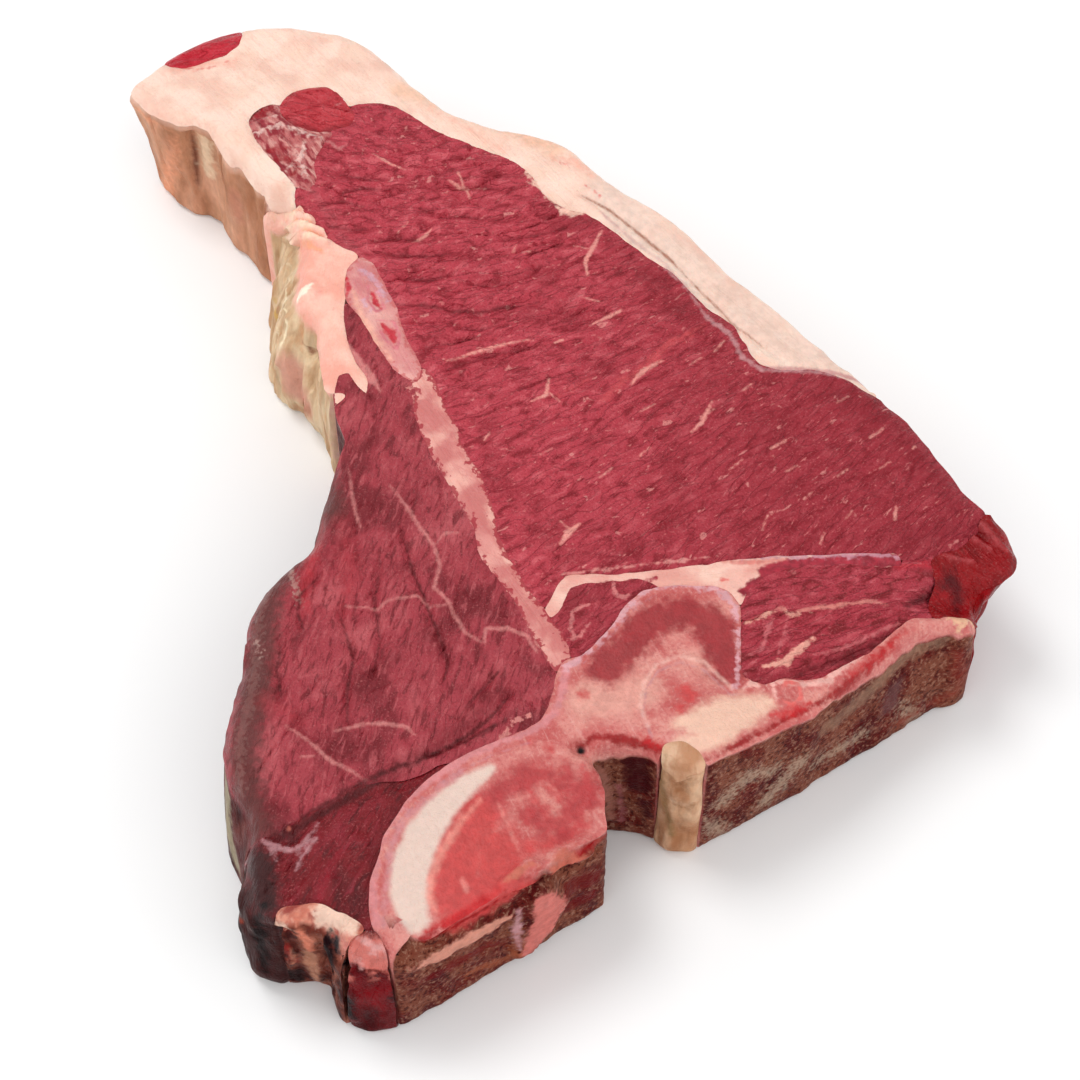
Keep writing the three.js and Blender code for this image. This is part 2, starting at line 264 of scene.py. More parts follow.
def outward(loop):
    """Outward normals of an anticlockwise loop."""
    ahead = np.roll(loop, -1, axis=0) - np.roll(loop, 1, axis=0)
    ahead /= np.linalg.norm(ahead, axis=1)[:, None]
    return np.stack([ahead[:, 1], -ahead[:, 0]], axis=1)


def nearest(points, others):
    """Distance from each point to the nearest of the others."""
    found = np.empty(len(points))
    for start in range(0, len(points), AT_ONCE):
        part = points[start:start + AT_ONCE, None, :] - others[None, :, :]
        found[start:start + AT_ONCE] = np.sqrt((part ** 2).sum(axis=2).min(axis=1))
    return found


def wobble(places):
    """A slight sideways shift, the same for all tissues, so that no outline stays a smooth curve."""
    flat = np.column_stack([places, np.zeros(len(places))])
    return np.stack([
        0.32 * noise(flat, 5, 11) + 0.16 * noise(flat, 1.9, 12),
        0.32 * noise(flat, 5, 13) + 0.16 * noise(flat, 1.9, 14),
    ], axis=1)


OUTLINES = {name: smoothed(resampled(slice_loop(*solid, SLICE_HEIGHT)), EDGE_BLUR)
            for name, solid in SOLIDS.items()}


class FaceMap:
    """The height of the cut face as a map of small cells."""

    def __init__(self):
        every = np.vstack([corners for corners, _ in SOLIDS.values()])
        self.low = every[:, :2].min(axis=0) - 2
        high = every[:, :2].max(axis=0) + 2
        columns, rows = np.ceil((high - self.low) / FACE_CELL).astype(int)
        heights = np.zeros((rows, columns))
        down = Vector((0, 0, -1))
        for row in range(rows):
            for column in range(columns):
                x, y = self.low + np.array([column, row]) * FACE_CELL
                hit = STEAK.ray_cast(Vector((x, y, 2 * THICKNESS)), down)[0]
                heights[row, column] = hit.z if hit is not None else 0
        heights[heights < THICKNESS / 2] = 0
        known = (heights > 0).astype(float)
        self.heights = self.blurred(heights) / np.maximum(self.blurred(known), 1e-3)

    @staticmethod
    def blurred(grid):
        reach = int(3 * FACE_BLUR / FACE_CELL) + 1
        shifts = range(-reach, reach + 1)
        weights = np.array([math.exp(-0.5 * (k * FACE_CELL / FACE_BLUR) ** 2) for k in shifts])
        weights /= weights.sum()
        for axis in (0, 1):
            grid = sum(w * np.roll(grid, k, axis=axis) for k, w in zip(shifts, weights))
        return grid

    def at(self, places):
        """Heights at places in the plan."""
        cells = (places - self.low) / FACE_CELL
        rows, columns = self.heights.shape
        x = np.clip(cells[:, 0], 0, columns - 1.001)
        y = np.clip(cells[:, 1], 0, rows - 1.001)
        left, lower = x.astype(int), y.astype(int)
        fx, fy = x - left, y - lower
        grid = self.heights
        return ((grid[lower, left] * (1 - fx) + grid[lower, left + 1] * fx) * (1 - fy)
                + (grid[lower + 1, left] * (1 - fx) + grid[lower + 1, left + 1] * fx) * fy)


FACE = FaceMap()


# Strokes

def stroke_distance(places, facing, stroke):
    """How far each place lies outside a stroke, below 0 inside it. Its points are u, v, half width.

    Distance along the direction in which the surface faces hardly counts, as the relief moves it.
    """
    line = [(on_steak(u, v), width) for u, v, width in stroke]
    if len(line) == 1:
        line = line * 2
    found = np.full(len(places), np.inf)
    for (start, wide), (end, next_wide) in zip(line, line[1:]):
        span = end - start
        t = np.clip((places - start) @ span / max(span @ span, 1e-9), 0, 1)
        offset = places - start - t[:, None] * span
        level = (offset * facing).sum(axis=1)
        away = np.sqrt(np.maximum((offset ** 2).sum(axis=1) - FACING_SHARE * level ** 2, 0))
        found = np.minimum(found, away - wide - t * (next_wide - wide))
    return found


def mark_distance(places, facing, strokes):
    """How far each place lies outside the nearest of several strokes."""
    found = np.full(len(places), MARK_REACH)
    for stroke in strokes:
        found = np.minimum(found, stroke_distance(places, facing, stroke))
    return np.maximum(found, -MARK_REACH)


def fibre_places(places, angle):
    """Places counted along the fibres, across them and up. Without an angle the fibres turn."""
    offset = places[:, :2] - FIBRE_CENTRE
    turn = FIBRE_ANGLE + offset @ TURN_TOWARDS * FIBRE_TURN if angle is None else math.radians(angle)
    along = offset[:, 0] * np.cos(turn) + offset[:, 1] * np.sin(turn)
    across = offset[:, 1] * np.cos(turn) - offset[:, 0] * np.sin(turn)
    return np.column_stack([along, across, places[:, 2]])


# Relief of the cut face, in mm, from the places and the fibre places

def meat_relief(places, fibres):
    wrinkled = 0.15 + 0.65 * ramp(places[:, 1] - places[:, 0] * 0.7, 15, 95)
    bundles = rough_noise(fibres, (6, 2.6, 40), 4, 21) * (0.36 + 0.14 * wrinkled)
    folds = -ramp(ridges(fibres, (26, 7.0, 30), 23), 0.82, 1) * wrinkled
    return bundles + folds + noise(places, 20, 24) * 0.35


def tender_relief(places, fibres):
    cracks = -ramp(ridges(fibres, (24, 8, 30), 31), 0.86, 1) * 0.5
    wrinkles = rough_noise(fibres, (6, 2.2, 30), 4, 32) * 0.38
    return cracks + wrinkles + noise(places, 14, 34) * 0.6


def fat_relief(places, fibres):
    return rough_noise(places, 12, 2, 41) * 0.6 + rough_noise(fibres, (11, 2.6, 9), 2, 42) * 0.3


def suet_relief(places, fibres):
    return rough_noise(places, (5, 6, 9), 3, 45) * 0.7


def seam_relief(places, fibres):
    return rough_noise(places, 2.8, 3, 43) * 0.45


def bone_relief(places, fibres):
    return rough_noise(places, 2.4, 2, 52) * 0.08 + noise(places, 15, 53) * 0.25


def clot_relief(places, fibres):
    return rough_noise(places, 6, 3, 46) * 1.3


# Relief of an outer wall, in mm outwards

def soft_wall(places):
    upright = places * np.array([1, 1, 0.3])
    return rough_noise(upright, 7, 2, 61) * 0.6 + rough_noise(upright, 2.6, 2, 62) * 0.2


def fat_wall(places):
    upright = places * np.array([1, 1, 0.25])
    folds = -ramp(ridges(upright, 9, 68), 0.7, 1) * 0.7
    return folds + rough_noise(upright, 5, 2, 61) * 0.5 + noise(places, 2.2, 62) * 0.1


def cord_wall(places):
    return rough_noise(places * np.array([1, 1, 0.8]), 7, 2, 48) * 0.9 + noise(places, 2, 49) * 0.12


def suet_wall(places):
    upright = places * np.array([1, 1, 0.2])
    strands = ramp(ridges(upright, 3.4, 63), 0.2, 1) * 0.8 + rough_noise(upright, 1.5, 2, 64) * 0.25
    return strands + noise(places, 12, 65) * 0.8 - 0.4


def lumpy_wall(places):
    return rough_noise(places * np.array([1, 1, 0.7]), 7, 3, 69) * 1.8


def sawn_wall(places):
    return rough_noise(places, 2.6, 3, 66) * 0.3 + noise(places, 0.9, 67) * 0.08


# Meshes

def wall_shift(tree, place, normal, height):
    """How far the solid's wall lies outside a point of the outline, at a height."""
    start = Vector((*(place - normal * INSET), height))
    out = Vector((*normal, 0))
    hit, facing, _, distance = tree.ray_cast(start, out, WALL_REACH)
    if hit is not None and facing.dot(out) > 0:
        return distance - INSET
    hit, facing, _, distance = tree.ray_cast(start, -out, WALL_REACH)
    if hit is not None and facing.dot(out) > 0:
        return -distance - INSET
    return 0.0


def face_height(tree, outline, normals):
    """The height of a solid's upper face, a little inside its outline."""
    down = Vector((0, 0, -1))
    found = np.zeros(len(outline))
    for i, (place, normal) in enumerate(zip(outline, normals)):
        for depth in RIM_DEPTHS:
            x, y = place - normal * depth
            hit = tree.ray_cast(Vector((x, y, 2 * THICKNESS)), down)[0]
            if hit is not None:
                found[i] = max(found[i], hit.z)
    found[found == 0] = THICKNESS
    return smoothed(found, RIM_BLUR)


def sheet_in(loop, step):
    """Points of a grid inside a loop, and the triangles between them and the loop's own points."""
    low, high = loop.min(axis=0), loop.max(axis=0)
    row_step = step * math.sqrt(3) / 2
    rows = np.arange(low[1], high[1], row_step)
    columns = np.arange(low[0], high[0], step)
    grid = np.array([(x + step / 2 * (k % 2), y) for k, y in enumerate(rows) for x in columns])
    ends = np.roll(loop, -1, axis=0)
    inside = np.zeros(len(grid), bool)
    for (ax, ay), (bx, by) in zip(loop, ends):
        rising = (grid[:, 1] < ay) != (grid[:, 1] < by)
        if rising.any():
            at = (bx - ax) * (grid[rising, 1] - ay) / (by - ay) + ax
            inside[rising] ^= grid[rising, 0] < at
    grid = grid[inside]
    if len(grid):
        grid = grid[nearest(grid, loop) > min(step, STEP) * 0.6]
    count = len(loop)
    edges = [(k, (k + 1) % count) for k in range(count)]
    points, _, faces, origins, _, _ = delaunay_2d_cdt(
        [Vector(p) for p in np.vstack([loop, grid])], edges, [], 1, 1e-5)
    points = np.array([tuple(p) for p in points])
    return points, faces, [min(o) if o else -1 for o in origins]


def felt_shifts(name, outline, normals, outer, rim_drop):
    """How far a solid's wall lies outside its outline, at each of the wall's shares."""
    tree = tree_of([SOLIDS[name]])
    rim_height = face_height(tree, outline, normals) - rim_drop
    shifts = np.zeros((len(outline), len(WALL_SHARES)))
    for i, (place, normal) in enumerate(zip(outline, normals)):
        if outer[i] > 0.02:
            for k, share in enumerate(WALL_SHARES):
                shifts[i, k] = wall_shift(tree, place, normal, rim_height[i] * share)
    return smoothed(np.clip(shifts, -WALL_REACH, WALL_REACH), WALL_BLUR) + CLOSING


def wall_rings(base, normals, shifts, rim_top, outer, relief_of):
    """Rings of points down a wall, from the rim to the ground."""
    rings = []
    for row in range(WALL_ROWS):
        share = 1 - row / (WALL_ROWS - 1)
        shift = np.array([np.interp(share, WALL_SHARES, s) for s in shifts])
        height = rim_top * share
        flat = base + normals * shift[:, None]
        relief = relief_of(np.column_stack([flat, height]))
        fade = outer * ramp(np.full(len(base), 1 - share), 0, RIM_FADE) * ramp(height, *FOOT_FADE)
        foot = FOOT_ROUND * outer * (1 - np.clip(height / FOOT_ROUND, 0, 1)) ** 2
        rings.append(np.column_stack([flat + normals * (relief * fade - foot)[:, None], height]))
    return rings


def with_sheets(wall, rim, foot):
    """The places of a wall, the sheet over it and the sheet under it, and the faces of all three."""
    count = len(rim)
    places = [wall]
    faces = [(r * count + i, (r + 1) * count + i, (r + 1) * count + (i + 1) % count,
              r * count + (i + 1) % count) for r in range(WALL_ROWS - 1) for i in range(count)]
    total = len(wall)
    for loop, step, ring, under in ((rim, STEP, 0, False), (foot, UNDER_STEP, WALL_ROWS - 1, True)):
        points, sheet, origins = sheet_in(loop, step)
        heights = np.zeros(len(points)) if under else FACE.at(points)
        new = [k for k, origin in enumerate(origins) if not 0 <= origin < count]
        index = {k: ring * count + origin for k, origin in enumerate(origins) if 0 <= origin < count}
        index.update({k: total + n for n, k in enumerate(new)})
        places.append(np.column_stack([points[new], heights[new]]))
        total += len(new)
        faces += [tuple(index[k] for k in (reversed(f) if under else f)) for f in sheet]
    return places, faces


def tissue_mesh(name, look):
    """The fine mesh of one tissue: its places in plan mm, its faces, the way each place faces, how much
    of the relief it takes, and its distances from the side, the edge and the border."""
    outline = OUTLINES[name]
    count = len(outline)
    normals = smoothed(outward(outline), NORMAL_BLUR)
    normals /= np.linalg.norm(normals, axis=1)[:, None]
    others = np.vstack([loop for other, loop in OUTLINES.items() if other != name])
    outer = smoothed((nearest(outline, others) > NEIGHBOUR).astype(float), NORMAL_BLUR)
    shifts = felt_shifts(name, outline, normals, outer, look["rim_drop"])
    base = outline + wobble(outline)
    rim = base + normals * shifts[:, -1:]
    rim_top = FACE.at(rim)
    rings = wall_rings(base, normals, shifts, rim_top, outer, look["wall"])
    wall = np.vstack(rings)
    places, faces = with_sheets(wall, rim, rings[-1][:, :2])
    _, top, under = places
    total = sum(len(part) for part in places)

    flat = np.column_stack([normals, np.zeros(count)])
    upright = np.tile([0.0, 0.0, 1.0], (total - count * (WALL_ROWS - 1), 1))
    facing = np.vstack([upright[:count], np.tile(flat, (WALL_ROWS - 1, 1)), upright[count:]])
    depth = np.tile(rim_top, WALL_ROWS) - wall[:, 2]
    side = np.zeros(total)
    side[:len(wall)] = np.tile(ramp(outer, 0.05, 0.4), WALL_ROWS) * ramp(depth, 0, look["side_fade"])
    edge = np.concatenate([np.zeros(len(wall)), nearest(top[:, :2], rim), np.full(len(under), 2.0)])
    border = np.full(total, 2 * MARK_REACH)
    inner_rim = rim[outer < 0.5]
    if len(inner_rim):
        border[:count] = nearest(rim, inner_rim)
        border[len(wall):len(wall) + len(top)] = nearest(top[:, :2], inner_rim)
    lift = np.concatenate([np.ones(len(wall) + len(top)), np.zeros(len(under))])
    return np.vstack(places), faces, facing, lift, {"side": side, "edge": edge, "border": border}


def make_tissue(name, look):
    """One tissue with its relief, marks and material, standing for its solid."""
    places, faces, facing, lift, fields = tissue_mesh(name, look)
    fibres = fibre_places(places, look["fibres"])
    face = 1 - fields["side"]
    warped = fibres + FIBRE_WARP * np.column_stack([noise(places, 6, seed) for seed in (71, 72, 73)])
    relief = look["relief"](places, warped) * (0.3 + 0.7 * ramp(fields["edge"], 0, 1.5)) * face
    relief *= ramp(fields["border"], 0, 1.3)
    relief -= GROOVE * np.exp(-(fields["border"] / 0.8) ** 2) * face
    bevel = look["bevel"]
    if bevel:
        free = ramp(fields["border"] - fields["edge"], 0, bevel)
        relief -= bevel * (1 - ramp(fields["edge"], 0, bevel * 1.6)) ** 2 * free * face
    for layer in look["marks"]:
        distance = mark_distance(places, facing, layer["strokes"])
        if layer["where"]:
            distance += MARK_REACH * 2 * (fields["side"] if layer["where"] == "face" else face)
        fields[layer["name"]] = distance
        relief += layer["rise"] * np.exp(-(np.maximum(distance, 0) / layer["spread"]) ** 2)
    relief *= lift * ramp(places[:, 2], *FOOT_FADE)
    places = places + facing * relief[:, None]
    places[:, 2] = np.maximum(places[:, 2], 0)

    mesh = bpy.data.meshes.new(name + "_mesh")
    row_frame = places.copy()
    row_frame[:, :2] -= PLAN_CENTRE
    mesh.from_pydata((row_frame * MM).tolist(), [], faces)
    for title, values in fields.items():
        attribute = mesh.attributes.new(title, "FLOAT", "POINT")
        attribute.data.foreach_set("value", values.astype(np.float32))
    attribute = mesh.attributes.new("fibre", "FLOAT_VECTOR", "POINT")
    attribute.data.foreach_set("vector", fibres.astype(np.float32).ravel())
    mesh.polygons.foreach_set("use_smooth", np.ones(len(mesh.polygons), bool))
    mesh.set_sharp_from_angle(angle=SHARP_ANGLE)
    mesh.materials.append(material_of(name, look))
    piece = bpy.data.objects.new(name + "_flesh", mesh)
    bpy.context.scene.collection.objects.link(piece)
    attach(piece, "root")
    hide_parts(name)


# Materials

def rgb(red, green, blue):
    """The shader's colour for a surface that a lit picture shows in this one, from 0 to 255."""
    linear = [((c / 255 + 0.055) / 1.055) ** 2.4 for c in (red, green, blue)]
    return tuple(max(c - GLOSS_LIGHT, c * 0.4) / LIGHT for c in linear) + (1.0,)


class Paint:
    """A material under construction. Its methods add nodes and give back their outputs."""

    def __init__(self, name):
        self.material = bpy.data.materials.new(name)
        self.material.use_nodes = True
        self.tree = self.material.node_tree
        self.shader = self.tree.nodes["Principled BSDF"]
        self.made = {}
        self.place = self.scaled(self.add("ShaderNodeTexCoord").outputs["Object"], (1 / MM,) * 3)
        self.fibre = self.mark("fibre", "Vector")

    def add(self, kind, **settings):
        node = self.tree.nodes.new(kind)
        for key, value in settings.items():
            setattr(node, key, value)
        return node

    def feed(self, socket, value):
        if isinstance(value, bpy.types.NodeSocket):
            self.tree.links.new(value, socket)
        else:
            socket.default_value = value

    def mark(self, name, output="Fac"):
        return self.add("ShaderNodeAttribute", attribute_name=name).outputs[output]

    def scaled(self, vector, factors):
        node = self.add("ShaderNodeVectorMath", operation="MULTIPLY")
        self.feed(node.inputs[0], vector)
        self.feed(node.inputs[1], factors)
        return node.outputs[0]

    def noise(self, vector, size, detail=2.0, swirl=0.0):
        """Noise from 0 to 1 with grains of a size in mm, one number or one per axis."""
        sizes = size if isinstance(size, tuple) else (size,) * 3
        key = (vector.node.name, vector.name, sizes, detail, swirl)
        if key in self.made:
            return self.made[key]
        node = self.add("ShaderNodeTexNoise")
        self.feed(node.inputs["Vector"], self.scaled(vector, tuple(1 / s for s in sizes)))
        node.inputs["Scale"].default_value = 1.0
        node.inputs["Detail"].default_value = detail
        node.inputs["Distortion"].default_value = swirl
        self.made[key] = node.outputs["Fac"]
        return self.made[key]

    def lines(self, vector, size, width, swirl=0.5):
        """Thin winding lines, 1 on them and 0 between them."""
        winding = self.noise(vector, size, 3, swirl)
        level = self.math("ABSOLUTE", self.math("SUBTRACT", winding, 0.5))
        return self.span(level, 0, width, 1, 0)

    def math(self, operation, a, b=0.0):
        node = self.add("ShaderNodeMath", operation=operation)
        self.feed(node.inputs[0], a)
        self.feed(node.inputs[1], b)
        return node.outputs[0]

    def span(self, value, low, high, start=0.0, end=1.0):
        """A value mapped smoothly from one span of numbers to another."""
        node = self.add("ShaderNodeMapRange", interpolation_type="SMOOTHSTEP")
        for socket, number in zip(node.inputs[:5], (value, low, high, start, end)):
            self.feed(socket, number)
        return node.outputs[0]

    def mix(self, share, a, b):
        node = self.add("ShaderNodeMix", data_type="RGBA")
        for socket, value in ((node.inputs[0], share), (node.inputs[6], a), (node.inputs[7], b)):
            self.feed(socket, value)
        return node.outputs[2]

    def over(self, colour, tint, value, low, high, start=0.0, end=1.0):
        """A tint over a colour, by the share that a value is mapped to."""
        return self.mix(self.span(value, low, high, start, end), colour, tint)

    def scale(self, value, factor):
        return self.math("MULTIPLY", value, factor)

    def bump(self, heights):
        """Bumps from heights in mm."""
        node = self.add("ShaderNodeBump")
        node.inputs["Distance"].default_value = MM
        self.feed(node.inputs["Height"], heights)
        self.feed(self.shader.inputs["Normal"], node.outputs[0])

    def varied(self, colour, vector, size, amount):
        """A colour with light and dark blotches."""
        node = self.add("ShaderNodeVectorMath", operation="SCALE")
        self.feed(node.inputs[0], colour[:3] if isinstance(colour, tuple) else colour)
        self.feed(node.inputs["Scale"],
                  self.span(self.noise(vector, size, 4), 0.3, 0.7, 1 - amount, 1 + amount))
        return node.outputs[0]

    def sum(self, *parts):
        total = parts[0]
        for part in parts[1:]:
            total = self.math("ADD", total, part)
        return total


def mottled(paint, colours, vector, size, detail=4.0, low=0.4, high=0.62):
    """Colours one over the other, each in its own blotches."""
    colour = rgb(*colours[0])
    for k, extra in enumerate(colours[1:]):
        shifted = paint.add("ShaderNodeVectorMath", operation="ADD")
        paint.feed(shifted.inputs[0], vector)
        shifted.inputs[1].default_value = (31.7 * (k + 1), 17.3 * k, 9.1)
        share = paint.span(paint.noise(shifted.outputs[0], size, detail), low, high)
        colour = paint.mix(share, colour, rgb(*extra))
    return colour


# Bases: the colour of a tissue and the height of its fine bumps in mm

def meat_base(paint, look):
    """Muscle cut across: swirling bundles, dark wrinkles and fine pale flecks. Its colour follows its
    bumps, so the dark hollows and wrinkles are partly painted shade and the pale specks and light grain
    partly painted highlights.
    """
    dark, plain, light = (rgb(*c) for c in look["colours"])
    # The bundles are darker where their bumps are low and lighter on their crests: partly the muscle's
    # own tone, partly painted shade and painted light of the relief.
    bundles = paint.noise(paint.fibre, (4.6, 2.0, 6), 6, 0.7)
    colour = paint.mix(paint.span(bundles, 0.33, 0.49, 0.15, 1), dark, plain)
    colour = paint.over(colour, light, bundles, 0.53, 0.7, 0, 0.7)
    # Dark wrinkle lines, also sunk a little: painted shade in the cracks between the bundles.
    wrinkles = paint.lines(paint.fibre, (9, 2.6, 9), 0.03)
    colour = paint.mix(paint.scale(wrinkles, 0.4), colour, dark)
    clouds = paint.noise(paint.place, (16, 14, 20), 3)
    colour = paint.over(colour, dark, clouds, 0.52, 0.68, 0, 0.5)
    # Painted shade: the muscle grows darker towards its right end.
    if look["rightward_shade"]:
        along = paint.add("ShaderNodeSeparateXYZ")
        paint.feed(along.inputs[0], paint.place)
        low, high, most = look["rightward_shade"]
        colour = paint.over(colour, dark, along.outputs[0], low, high, 0, most)
    flecks = paint.noise(paint.fibre, (1.9, 0.8, 3), 3)
    colour = paint.over(colour, rgb(220, 128, 126), flecks, 0.64, 0.74, 0, look["flecks"])
    # Pale specks: partly fat, partly painted highlights.
    specks = paint.noise(paint.fibre, (3.8, 2.3, 5), 3, 0.5)
    colour = paint.over(colour, rgb(228, 148, 142), specks, 0.65, 0.72, 0, look["flecks"])
    # Fine grain, light and dark dots: partly the muscle's own tone, partly painted glints and painted
    # shade in its pits.
    grain = paint.noise(paint.place, 0.45, 3)
    colour = paint.over(colour, rgb(210, 108, 112), grain, 0.55, 0.74, 0, 0.45)
    colour = paint.over(colour, dark, grain, 0.3, 0.46, 0.6, 0)
    return colour, paint.sum(paint.scale(bundles, 0.9), paint.scale(grain, 0.25),
                             paint.scale(wrinkles, -0.15))


def tender_base(paint, look):
    """Tender muscle: fine wrinkles over darker and lighter clouds. Its folds are darker where their bumps
    are low and lighter on their crests, and its wrinkles dark: partly the muscle's own tone, partly
    painted shade and painted highlights of the relief.
    """
    dark, plain, light = (rgb(*c) for c in look["colours"])
    clouds = paint.noise(paint.place, (12, 14, 30), 4, 0.4)
    colour = paint.mix(paint.span(clouds, 0.34, 0.52, 0.2, 1), dark, plain)
    colour = paint.over(colour, light, clouds, 0.52, 0.7, 0, 0.6)
    # The folds are darker where their bumps are low and lighter on their crests: partly the muscle's own
    # tone, partly painted shade and painted light of the relief.
    folds = paint.noise(paint.fibre, (4.5, 1.3, 6), 6, 0.6)
    colour = paint.over(colour, dark, folds, 0.34, 0.48, 0.75, 0)
    colour = paint.over(colour, light, folds, 0.54, 0.7, 0, 0.55)
    # Dark wrinkle lines, also sunk a little: painted shade in the cracks.
    wrinkles = paint.lines(paint.fibre, (8, 3.2, 9), 0.03)
    colour = paint.mix(paint.scale(wrinkles, 0.2), colour, dark)
    # Fine grain, light and dark dots: partly the muscle's own tone, partly painted glints and painted
    # shade in its pits.
    grain = paint.noise(paint.place, 0.45, 3)
    colour = paint.over(colour, rgb(206, 122, 120), grain, 0.55, 0.75, 0, 0.35)
    colour = paint.over(colour, dark, grain, 0.28, 0.44, 0.4, 0)
    return colour, paint.sum(paint.scale(folds, 0.7), paint.scale(grain, 0.25),
                             paint.scale(wrinkles, -0.1))


def fat_base(paint, look):
    """Firm fat: pale, with soft clouds and fine streaks along it."""
    colour = mottled(paint, look["colours"], paint.place, 9, 5, 0.42, 0.62)
    streaks = paint.noise(paint.fibre, (13, 1.5, 6), 6, 0.4)
    colour = paint.over(colour, rgb(*look["streaks"]), streaks, 0.55, 0.7, 0, 0.28)
    veins = paint.lines(paint.fibre, (22, 5, 12), 0.02)
    colour = paint.mix(paint.scale(veins, 0.25), colour, rgb(*look["streaks"]))
    grain = paint.noise(paint.place, 0.7, 4)
    colour = paint.over(colour, rgb(214, 146, 128), grain, 0.56, 0.72, 0, 0.2)
    return colour, paint.sum(paint.scale(grain, 0.2), paint.scale(streaks, 0.4))


def stringy_base(paint, look):
    """Loose fat and connective tissue: strands of several colours."""
    colour = mottled(paint, look["colours"], paint.fibre, look["strands"], 6, 0.44, 0.6)
    heights = paint.noise(paint.fibre, look["strands"], 6, 0.8)
    colour = paint.over(colour, rgb(*look["colours"][-1]), heights, 0.3, 0.46, 0.5, 0)
    return colour, paint.scale(heights, 1.6)


def bone_base(paint, look):
    """Sawn bone: marrow in a fine mesh of bone."""
    colour = mottled(paint, look["colours"], paint.place, 7, 6)
    rays = paint.noise(paint.fibre, (9, 1.1, 5), 5, 0.3)
    colour = paint.over(colour, rgb(230, 168, 160), rays, 0.56, 0.7, 0, 0.35)
    colour = paint.over(colour, rgb(190, 84, 84), rays, 0.32, 0.46, 0.35, 0)
    mesh = paint.noise(paint.place, 0.7, 5)
    colour = paint.over(colour, rgb(240, 190, 178), mesh, 0.52, 0.7, 0, 0.25)
    colour = paint.over(colour, rgb(172, 66, 66), mesh, 0.3, 0.46, 0.35, 0)
    return colour, paint.sum(paint.scale(mesh, 0.35), paint.scale(rays, 0.15))


# Sides: the colour of a wall where it isn't that of the cut face

def soft_side(paint, look):
    upright = paint.scaled(paint.place, (1, 1, look["side_stretch"]))
    colour = mottled(paint, look["side_colours"], upright, look["side_size"], 5, 0.36, 0.68)
    return paint.varied(colour, upright, 1.6, 0.1)


def sawn_side(paint, look):
    """A sawn wall of bone: zones of brown, with a crumbly pale and dark grain."""
    colour = mottled(paint, look["side_colours"], paint.place, (8, 8, 10), 4)
    coarse = paint.noise(paint.place, (2.8, 2.8, 4), 4, 0.5)
    colour = paint.over(colour, rgb(146, 96, 80), coarse, 0.52, 0.68, 0, 0.4)
    grain = paint.noise(paint.place, (0.9, 0.9, 1.1), 5, 0.3)
    colour = paint.over(colour, rgb(172, 128, 108), grain, 0.55, 0.63, 0, 0.45)
    return paint.over(colour, rgb(62, 14, 14), grain, 0.36, 0.46, 0.75, 0)


def material_of(name, look):
    """The material of a tissue: its base, its sides, and its marks over both."""
    paint = Paint(name + "_look")
    colour, heights = look["base"](paint, look)
    if look["side_colours"]:
        side = look["side"](paint, look)
        colour = paint.mix(paint.mark("side"), colour, side)
    if look["bite"]:
        bite, width, ragged = look["bite"]
        rag = paint.noise(paint.place, 1.5, 5)
        rag = paint.scale(paint.math("SUBTRACT", rag, 0.5), ragged * RAG_GAIN)
        share = paint.span(paint.math("ADD", paint.mark("border"), rag), width - 0.3, width + 0.3, 0.9, 0)
        colour = paint.mix(share, colour, rgb(*bite))
    for layer in look["marks"]:
        rag = paint.noise(paint.place, layer["grain"], 4)
        rag = paint.scale(paint.math("SUBTRACT", rag, 0.5), layer["ragged"] * RAG_GAIN)
        distance = paint.math("ADD", paint.mark(layer["name"]), rag)
        share = paint.span(distance, -layer["soft"], layer["soft"], layer["strength"], 0)
        tint = paint.varied(rgb(*layer["colour"]), paint.place, 1.8, layer["vary"])
        colour = paint.mix(share, colour, tint)
    paint.feed(paint.shader.inputs["Base Color"], colour)
    paint.bump(heights)
    patches = paint.noise(paint.place, 4, 4)
    rough = (look["roughness"] - PATCHY, look["roughness"] + PATCHY)
    paint.feed(paint.shader.inputs["Roughness"], paint.span(patches, 0.35, 0.65, *rough))
    paint.shader.inputs["Subsurface Weight"].default_value = look["glow"]
    paint.shader.inputs["Subsurface Radius"].default_value = GLOW_RADIUS
    paint.shader.inputs["Subsurface Scale"].default_value = GLOW_DEPTH * MM
    paint.feed(paint.shader.inputs["Specular IOR Level"],
               paint.span(paint.mark("side"), 0, 1, look["gloss"], look["gloss"] * SIDE_GLOSS))
    return paint.material


# Marks, in photograph pixels with half widths in mm

# What a mark is where it says nothing else. Soft, ragged and grain are for its edge, in mm: how far it
# fades, how far it strays, and how long each stray is. It rises by rise over spread, in mm. Its colour
# varies by a share, and it shows on the face, on the wall, or on both.
PLAIN_MARK = {
    "soft": 0.5, "ragged": 0.8, "grain": 1.6, "strength": 1.0, "rise": 0.0, "spread": 0.7, "vary": 0.12,
    "where": None,
}
THIN_END = 0.3                       # width of a fine stroke at its ends


def fine(width, *points):
    """A stroke that is thin at both ends."""
    last = len(points) - 1
    return [(u, v, width * (THIN_END if k in (0, last) else 1.0)) for k, (u, v) in enumerate(points)]


def broad(width, *points):
    """A stroke of one width."""
    return [(u, v, width) for u, v in points]


def mark(name, colour, *strokes, **settings):
    """Strokes of one colour, with what sets them apart from a plain mark."""
    return {**PLAIN_MARK, "name": name, "colour": colour, "strokes": strokes, **settings}


# Large eye muscle

